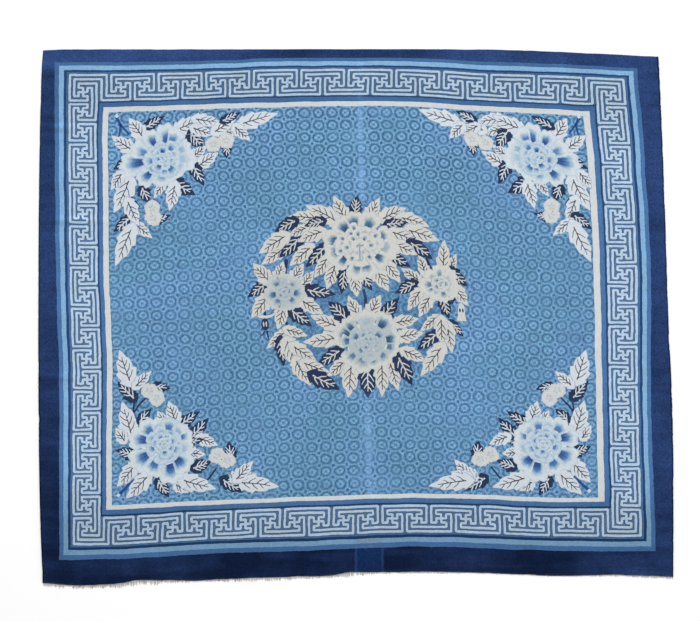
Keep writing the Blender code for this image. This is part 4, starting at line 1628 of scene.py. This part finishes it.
def draw_petal(shape, flower, petal, half, placing, level, rim, flat=1.0, outer=False, lean=0.0):
    """One broad, lobed petal that opens out from its flower's middle; its blue may lean to a side."""
    towards = math.radians(petal.points)
    length = petal.reach - petal.foot
    scallop = OUTER_SCALLOP if outer else INNER_SCALLOP

    def place(s, t):
        out = (t + 1) / 2
        lobes = 1 + scallop * math.cos(s * LOBES * math.pi)
        rounded = max(0.0, math.cos(s * math.pi / 2)) ** END_ROUND
        radius = petal.foot + length * ((CORNER_REACH + MIDDLE_REACH * rounded) * lobes) * out
        angle = towards + math.radians(half) * s * (FOOT_WIDTH + END_WIDTH * out)
        u, v = placing.point(flower.u + radius * math.cos(angle), flower.v + radius * math.sin(angle) * flat)
        side = abs(s) > EDGE
        drop = CARVED_DROP if side or out > EDGE else 0.0
        tip = smooth(out, *TIP_PALES) if outer else 0.0
        palest = flower.palest + (flower.end - flower.palest) * tip
        shade = petal_shade(petal.blue, out, s - lean * (1 - s * s), rim)
        return u, v, level - drop, min(palest, shade, rim if side else 1.0)

    draw_wool(shape, flower, draw_patch(shape, *(SMALL_GRID if length < SMALL_PETAL else PETAL_GRID), place))


def draw_wool(shape, flower, verts):
    """Give a part of a flower the warmth of that flower's ivory."""
    warmth = shape.verts.layers.float["warmth"]
    for vert in verts:
        vert[warmth] = flower.warmth


def draw_flower(shape, flower, placing):
    """A base that hides the leaves' feet, then each ring of petals over the one outside it."""
    longest = max(petal.reach for petal in flower.petals)
    draw_wool(shape, flower, draw_disc(
        shape, placing.point(flower.u, flower.v), [longest * BASE_SHARE * CM] * 2,
        BASE_LEVEL, BASE_STEPS, scallops=BASE_SCALLOP))
    furthest = max(petal.foot for petal in flower.petals)
    outer = [petal for petal in flower.petals if petal.foot > OUTER_SHARE * furthest]
    inner = [petal for petal in flower.petals if petal.foot <= OUTER_SHARE * furthest]
    level = PETAL_LEVEL
    for group, rim in ((outer, OUTER_RIM if flower.rings else PLAIN_RIM), (inner, INNER_RIM)):
        for number, petal in enumerate(group):
            half = 180 / len(group) * PETAL_SPREAD * (1 + waver(flower, number, SPREAD_WAVER))
            petal = petal._replace(reach=petal.reach * (1 + waver(flower, number + 3, REACH_WAVER)),
                                   points=petal.points + waver(flower, number + 6, POINTS_WAVER))
            draw_petal(shape, flower, petal, half, placing, level + PETAL_STEP * (number % TURNS), rim,
                       outer=group is outer, lean=waver(flower, number + 1, LEAN_WAVER))
        level += RING_STEP
    for ring in flower.rings:
        half = 180 / ring.count * PETAL_SPREAD
        for number in range(ring.count):
            petal = Petal(
                ring.first + 360 * number / ring.count + waver(flower, number, HEART_POINTS_WAVER),
                ring.foot, ring.reach * (1 + waver(flower, number + 5, HEART_REACH_WAVER)),
                ring.blue * (1 + waver(flower, number + 2, HEART_BLUE_WAVER)))
            draw_petal(shape, flower, petal, half, placing, level + PETAL_STEP * (number % TURNS), HEART_RIM,
                       flat=flower.flat, lean=waver(flower, number + 4, HEART_LEAN_WAVER))
        level += RING_STEP
    return level


def weave_flowers():
    """Every flower, and on the upper one's heart its small petals and its stem."""
    shape, marks = bmesh.new(), bmesh.new()
    for measure in ("shade", "warmth"):
        shape.verts.layers.float.new(measure)
    medallion = Placing(MEDALLION)
    placed = [(flower, medallion) for flower in MEDALLION_FLOWERS]
    placed += corner_motifs(CORNER_FLOWERS, FOOT_FLOWERS)
    levels = [draw_flower(shape, flower, placing) for flower, placing in placed]
    upper = MEDALLION_FLOWERS[0]
    for number, dot in enumerate(HEART_DOTS):
        away = math.hypot(dot.u, dot.v)
        petal = Petal(math.degrees(math.atan2(dot.v, dot.u)), away - DOT_INWARD, away + DOT_OUTWARD, DOT_BLUE)
        draw_petal(shape, upper, petal, math.degrees(math.atan2(DOT_HALF, away)), medallion,
                   levels[0] + PETAL_STEP * (number % TURNS), DOT_RIM)
    for route in HEART_STEMS:
        draw_line(marks, [medallion.point(upper.u + u, upper.v + v) for u, v in route],
                  HEART_LINE, levels[0] + RING_STEP)
    return [weave_in("petals", shape, "petal"), weave_in("heart_marks", marks, "heart_mark")]


# ---------------------------------------------------------------- the rug's own body
RIM_SEGMENTS = 3


def weave_pile():
    """Foundation and pile as one closed body: the drawn surface above, the flat back below."""
    sizes = bpy.context.scene.rug_sizes
    shape = bmesh.new()
    counts = [round(2 * half / sizes.pile_grid) for half in EDGE_HALF]
    bmesh.ops.create_grid(shape, x_segments=counts[0], y_segments=counts[1], size=1)
    bmesh.ops.scale(shape, vec=(*EDGE_HALF, 1), verts=shape.verts)
    back = shape.faces[:]
    thicken(shape, THICKNESS)
    top = {face for face in shape.faces if face.calc_center_median().z > THICKNESS - SAME_PLACE}
    rim = {edge for face in top for edge in face.edges if any(near not in top for near in edge.link_faces)}
    bmesh.ops.dissolve_faces(shape, faces=back, use_verts=False)
    bmesh.ops.bevel(shape, geom=list(rim), offset=sizes.rim, segments=RIM_SEGMENTS, profile=0.5,
                    affect="EDGES", material=-1)
    drawing = shape.verts.layers.float_vector.new("drawing")
    for vert in shape.verts:
        vert[drawing] = vert.co
    lay_shape(shape, lambda x, y, z: z / THICKNESS * pile_height(x, y))
    piece = finish_piece("rug_pile", shape, "field")
    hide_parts("pile_rug")
    return piece


SELVEDGE_STITCH, STITCH_STEPS = 0.0075, 2  # spacing of the overcast stitches, and steps along each
SELVEDGE_RISE, SELVEDGE_COLUMNS = 0.0012, 4
SUNK_IN, SUNK_DOWN = 0.12, 0.3  # how far it draws in and sinks between two stitches


def weave_selvedges():
    """Overcast side edges: a ribbed roll down each side of the rug."""
    width = bpy.context.scene.rug_sizes.selvedge
    shape = bmesh.new()
    count = round(STITCH_STEPS * 2 * EDGE_HALF[1] / SELVEDGE_STITCH)
    for side in (-1, 1):
        def place(s, t):
            sunk = round((s + 1) / 2 * count) % 2
            out = (t + 1) / 2
            u = side * (EDGE_HALF[0] - width * out * (1 - SUNK_IN * sunk))
            rise = SELVEDGE_RISE * (math.sin(math.pi * out) - SUNK_DOWN * sunk)
            return u, s * EDGE_HALF[1], rise, 1.0

        draw_patch(shape, count, SELVEDGE_COLUMNS, place)
    return [weave_in("selvedges", shape, "selvedge")]


WARP_SPACING, WARP_WIDTH, WARP_DEPTH = 0.0042, 0.0030, 0.0011
WARP_STEPS = 5
WARP_SEED = 7
TUFT_HALF = 0.015  # half the width over which warp ends reach equally far
BARE_LENGTH = 0.006  # how far they reach between tufts
# Each strand is drawn between these: how far over the pile it starts, how much of its length is
# left, how far it leans to a side, how wide it is, and how far it lifts.
STRAND_OVER, STRAND_LEFT, STRAND_LEAN = (0.001, 0.006), (0.62, 0.98), (-0.22, 0.22)
STRAND_WIDTH, STRAND_LIFT = (0.7, 1.15), (0.0010, 0.0032)
STRAND_TAPER = 0.45


def weave_warps():
    """Bare warp ends along the foot edge: hundreds of short, worn strands of cotton."""
    draw = random.Random(WARP_SEED)
    comb = body_points("warp_ends")
    along, out = EDGES["foot"]
    count = round((along[-1] - along[0]) / WARP_SPACING)
    shape = bmesh.new()
    for number in range(count):
        x = along[0] + WARP_WIDTH + (along[-1] - along[0] - 2 * WARP_WIDTH) * number / (count - 1)
        root = float(np.interp(x, along, out))
        near = comb[np.abs(comb[:, 0] - x) < TUFT_HALF]
        tip = float(near[:, 1].min()) if len(near) else root - BARE_LENGTH
        over = draw.uniform(*STRAND_OVER)
        length = over + (root - tip) * draw.uniform(*STRAND_LEFT)
        lean = draw.uniform(*STRAND_LEAN)
        half = WARP_WIDTH / 2 * draw.uniform(*STRAND_WIDTH)
        lift = draw.uniform(*STRAND_LIFT)
        strand = bmesh.ops.create_grid(shape, x_segments=WARP_STEPS, y_segments=1, size=1)["verts"]
        for vert in strand:
            share = (vert.co.x + 1) / 2
            on_pile = max(0.0, 1 - share * length / over)
            height = WARP_DEPTH + lift * (1 - share) + (THICKNESS - WARP_DEPTH - lift) * on_pile
            vert.co = (x + lean * length * share * share + vert.co.y * half * (1 - STRAND_TAPER * share),
                       root + over - length * share, height)
    thicken(shape, WARP_DEPTH)
    bmesh.ops.translate(shape, verts=shape.verts, vec=(0, 0, -WARP_DEPTH))
    piece = finish_piece("warp_strands", shape, "cotton")
    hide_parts("warp_ends")
    return piece


# ---------------------------------------------------------------- the stage
FLOOR_HALF, FLOOR_BELOW = 30.0, 0.0005
FLOOR_WHITE, FLOOR_ROUGHNESS, FLOOR_SHINE = 0.97, 0.9, 0.1
LAMP_SIZE, LAMP_PLACE, LAMP_TURN = (7.0, 5.0), (0.5, 1.6, 6.5), (-14, 4, 0)  # its turn in degrees
FILM_WIDTH = 36  # in millimetres, as the lens is
AIM = (-0.0206, 0.0263)  # the point on the rug that the camera looks at


def set_stage(scene):
    """A plain pale floor under soft, even light, seen from almost straight above."""
    stage = scene.rug_stage
    shape = bmesh.new()
    bmesh.ops.create_grid(shape, x_segments=1, y_segments=1, size=FLOOR_HALF)
    bmesh.ops.translate(shape, verts=shape.verts, vec=(0, 0, -FLOOR_BELOW))
    material = bpy.data.materials.new("Pale floor")
    material.use_nodes = True
    feed_inputs(material.node_tree.nodes["Principled BSDF"], Base_Color=(*[FLOOR_WHITE] * 3, 1),
                Roughness=FLOOR_ROUGHNESS, Specular_IOR_Level=FLOOR_SHINE)
    floor = add_shape("floor", shape, material)

    world = bpy.data.worlds.new("Studio")
    world.use_nodes = True
    feed_inputs(world.node_tree.nodes["Background"], Color=(1, 1, 1, 1), Strength=stage.sky)
    scene.world = world

    lamp = bpy.data.lights.new("Soft box", "AREA")
    lamp.shape = "RECTANGLE"
    lamp.size, lamp.size_y = LAMP_SIZE
    lamp.energy = stage.lamp
    box = add_object("Soft box", lamp)
    box.location = LAMP_PLACE
    box.rotation_euler = [math.radians(turn) for turn in LAMP_TURN]

    view = bpy.data.cameras.new("View")
    view.sensor_width = FILM_WIDTH
    view.lens = stage.lens
    camera = add_object("View", view)
    camera.location = (AIM[0], AIM[1] - stage.distance * math.sin(stage.tilt),
                       THICKNESS + stage.distance * math.cos(stage.tilt))
    camera.rotation_euler = (stage.tilt, 0, 0)
    scene.camera = camera
    scene.view_settings.view_transform = "Standard"
    return camera


# ---------------------------------------------------------------- operators
def done(built):
    """An operator's result, or an error when it built nothing."""
    if not built:
        raise RuntimeError("nothing was built")
    return {"FINISHED"}


class RUG_OT_wools(bpy.types.Operator):
    """Dye the wools and the cotton"""

    bl_idname = "rug.wools"
    bl_label = "Dye Wools"

    def execute(self, context):
        MATERIALS.update(make_materials())
        return done(MATERIALS)


class RUG_OT_stage(bpy.types.Operator):
    """Set the floor, the lights and the camera"""

    bl_idname = "rug.stage"
    bl_label = "Set Stage"

    def execute(self, context):
        return done(set_stage(context.scene))


class RUG_OT_pile(bpy.types.Operator):
    """Weave the foundation and the pile"""

    bl_idname = "rug.pile"
    bl_label = "Weave Pile"

    def execute(self, context):
        return done(weave_pile())


class RUG_OT_selvedges(bpy.types.Operator):
    """Overcast the side edges"""

    bl_idname = "rug.selvedges"
    bl_label = "Overcast Selvedges"

    def execute(self, context):
        return done(weave_selvedges())


class RUG_OT_warps(bpy.types.Operator):
    """Lay out the bare warp ends"""

    bl_idname = "rug.warps"
    bl_label = "Lay Warp Ends"

    def execute(self, context):
        return done(weave_warps())


class RUG_OT_bands(bpy.types.Operator):
    """Weave the border's stripes and the ivory line"""

    bl_idname = "rug.bands"
    bl_label = "Weave Bands"

    def execute(self, context):
        return done(weave_bands())


class RUG_OT_fret(bpy.types.Operator):
    """Weave the key fret"""

    bl_idname = "rug.fret"
    bl_label = "Weave Fret"

    def execute(self, context):
        return done(weave_fret())


class RUG_OT_stems(bpy.types.Operator):
    """Weave the stems and twigs"""

    bl_idname = "rug.stems"
    bl_label = "Weave Stems"

    def execute(self, context):
        return done(weave_stems())


class RUG_OT_buds(bpy.types.Operator):
    """Weave the two buds"""

    bl_idname = "rug.buds"
    bl_label = "Weave Buds"

    def execute(self, context):
        return done(weave_buds())


class RUG_OT_leaves(bpy.types.Operator):
    """Weave the leaves and their veins"""

    bl_idname = "rug.leaves"
    bl_label = "Weave Leaves"

    def execute(self, context):
        return done(weave_leaves())


class RUG_OT_flowers(bpy.types.Operator):
    """Weave the flowers"""

    bl_idname = "rug.flowers"
    bl_label = "Weave Flowers"

    def execute(self, context):
        return done(weave_flowers())


class RUG_PT_sidebar(bpy.types.Panel):
    """The rug's steps and settings"""

    bl_label = "Fret Border Rug"
    bl_space_type = "VIEW_3D"
    bl_region_type = "UI"
    bl_category = "Rug"

    def draw(self, context):
        for group in (context.scene.rug_sizes, context.scene.rug_colours, context.scene.rug_stage):
            for name in group.__annotations__:
                self.layout.prop(group, name)
        for operator in OPERATORS:
            self.layout.operator(operator.bl_idname)


GROUPS = (RugSizes, RugColours, RugStage)
OPERATORS = (
    RUG_OT_wools, RUG_OT_stage, RUG_OT_pile, RUG_OT_selvedges, RUG_OT_warps, RUG_OT_bands, RUG_OT_fret,
    RUG_OT_stems, RUG_OT_buds, RUG_OT_leaves, RUG_OT_flowers,
)


def register():
    """Add the settings, the steps and the sidebar."""
    for item in GROUPS + OPERATORS + (RUG_PT_sidebar,):
        bpy.utils.register_class(item)
    bpy.types.Scene.rug_sizes = PointerProperty(type=RugSizes)
    bpy.types.Scene.rug_colours = PointerProperty(type=RugColours)
    bpy.types.Scene.rug_stage = PointerProperty(type=RugStage)


def unregister():
    """Take them away again."""
    del bpy.types.Scene.rug_sizes, bpy.types.Scene.rug_colours, bpy.types.Scene.rug_stage
    for item in reversed(GROUPS + OPERATORS + (RUG_PT_sidebar,)):
        bpy.utils.unregister_class(item)


def main():
    """Build the rug step by step."""
    register()
    for operator in OPERATORS:
        getattr(bpy.ops.rug, operator.bl_idname.split(".")[1])()


if __name__ == "__main__":
    main()
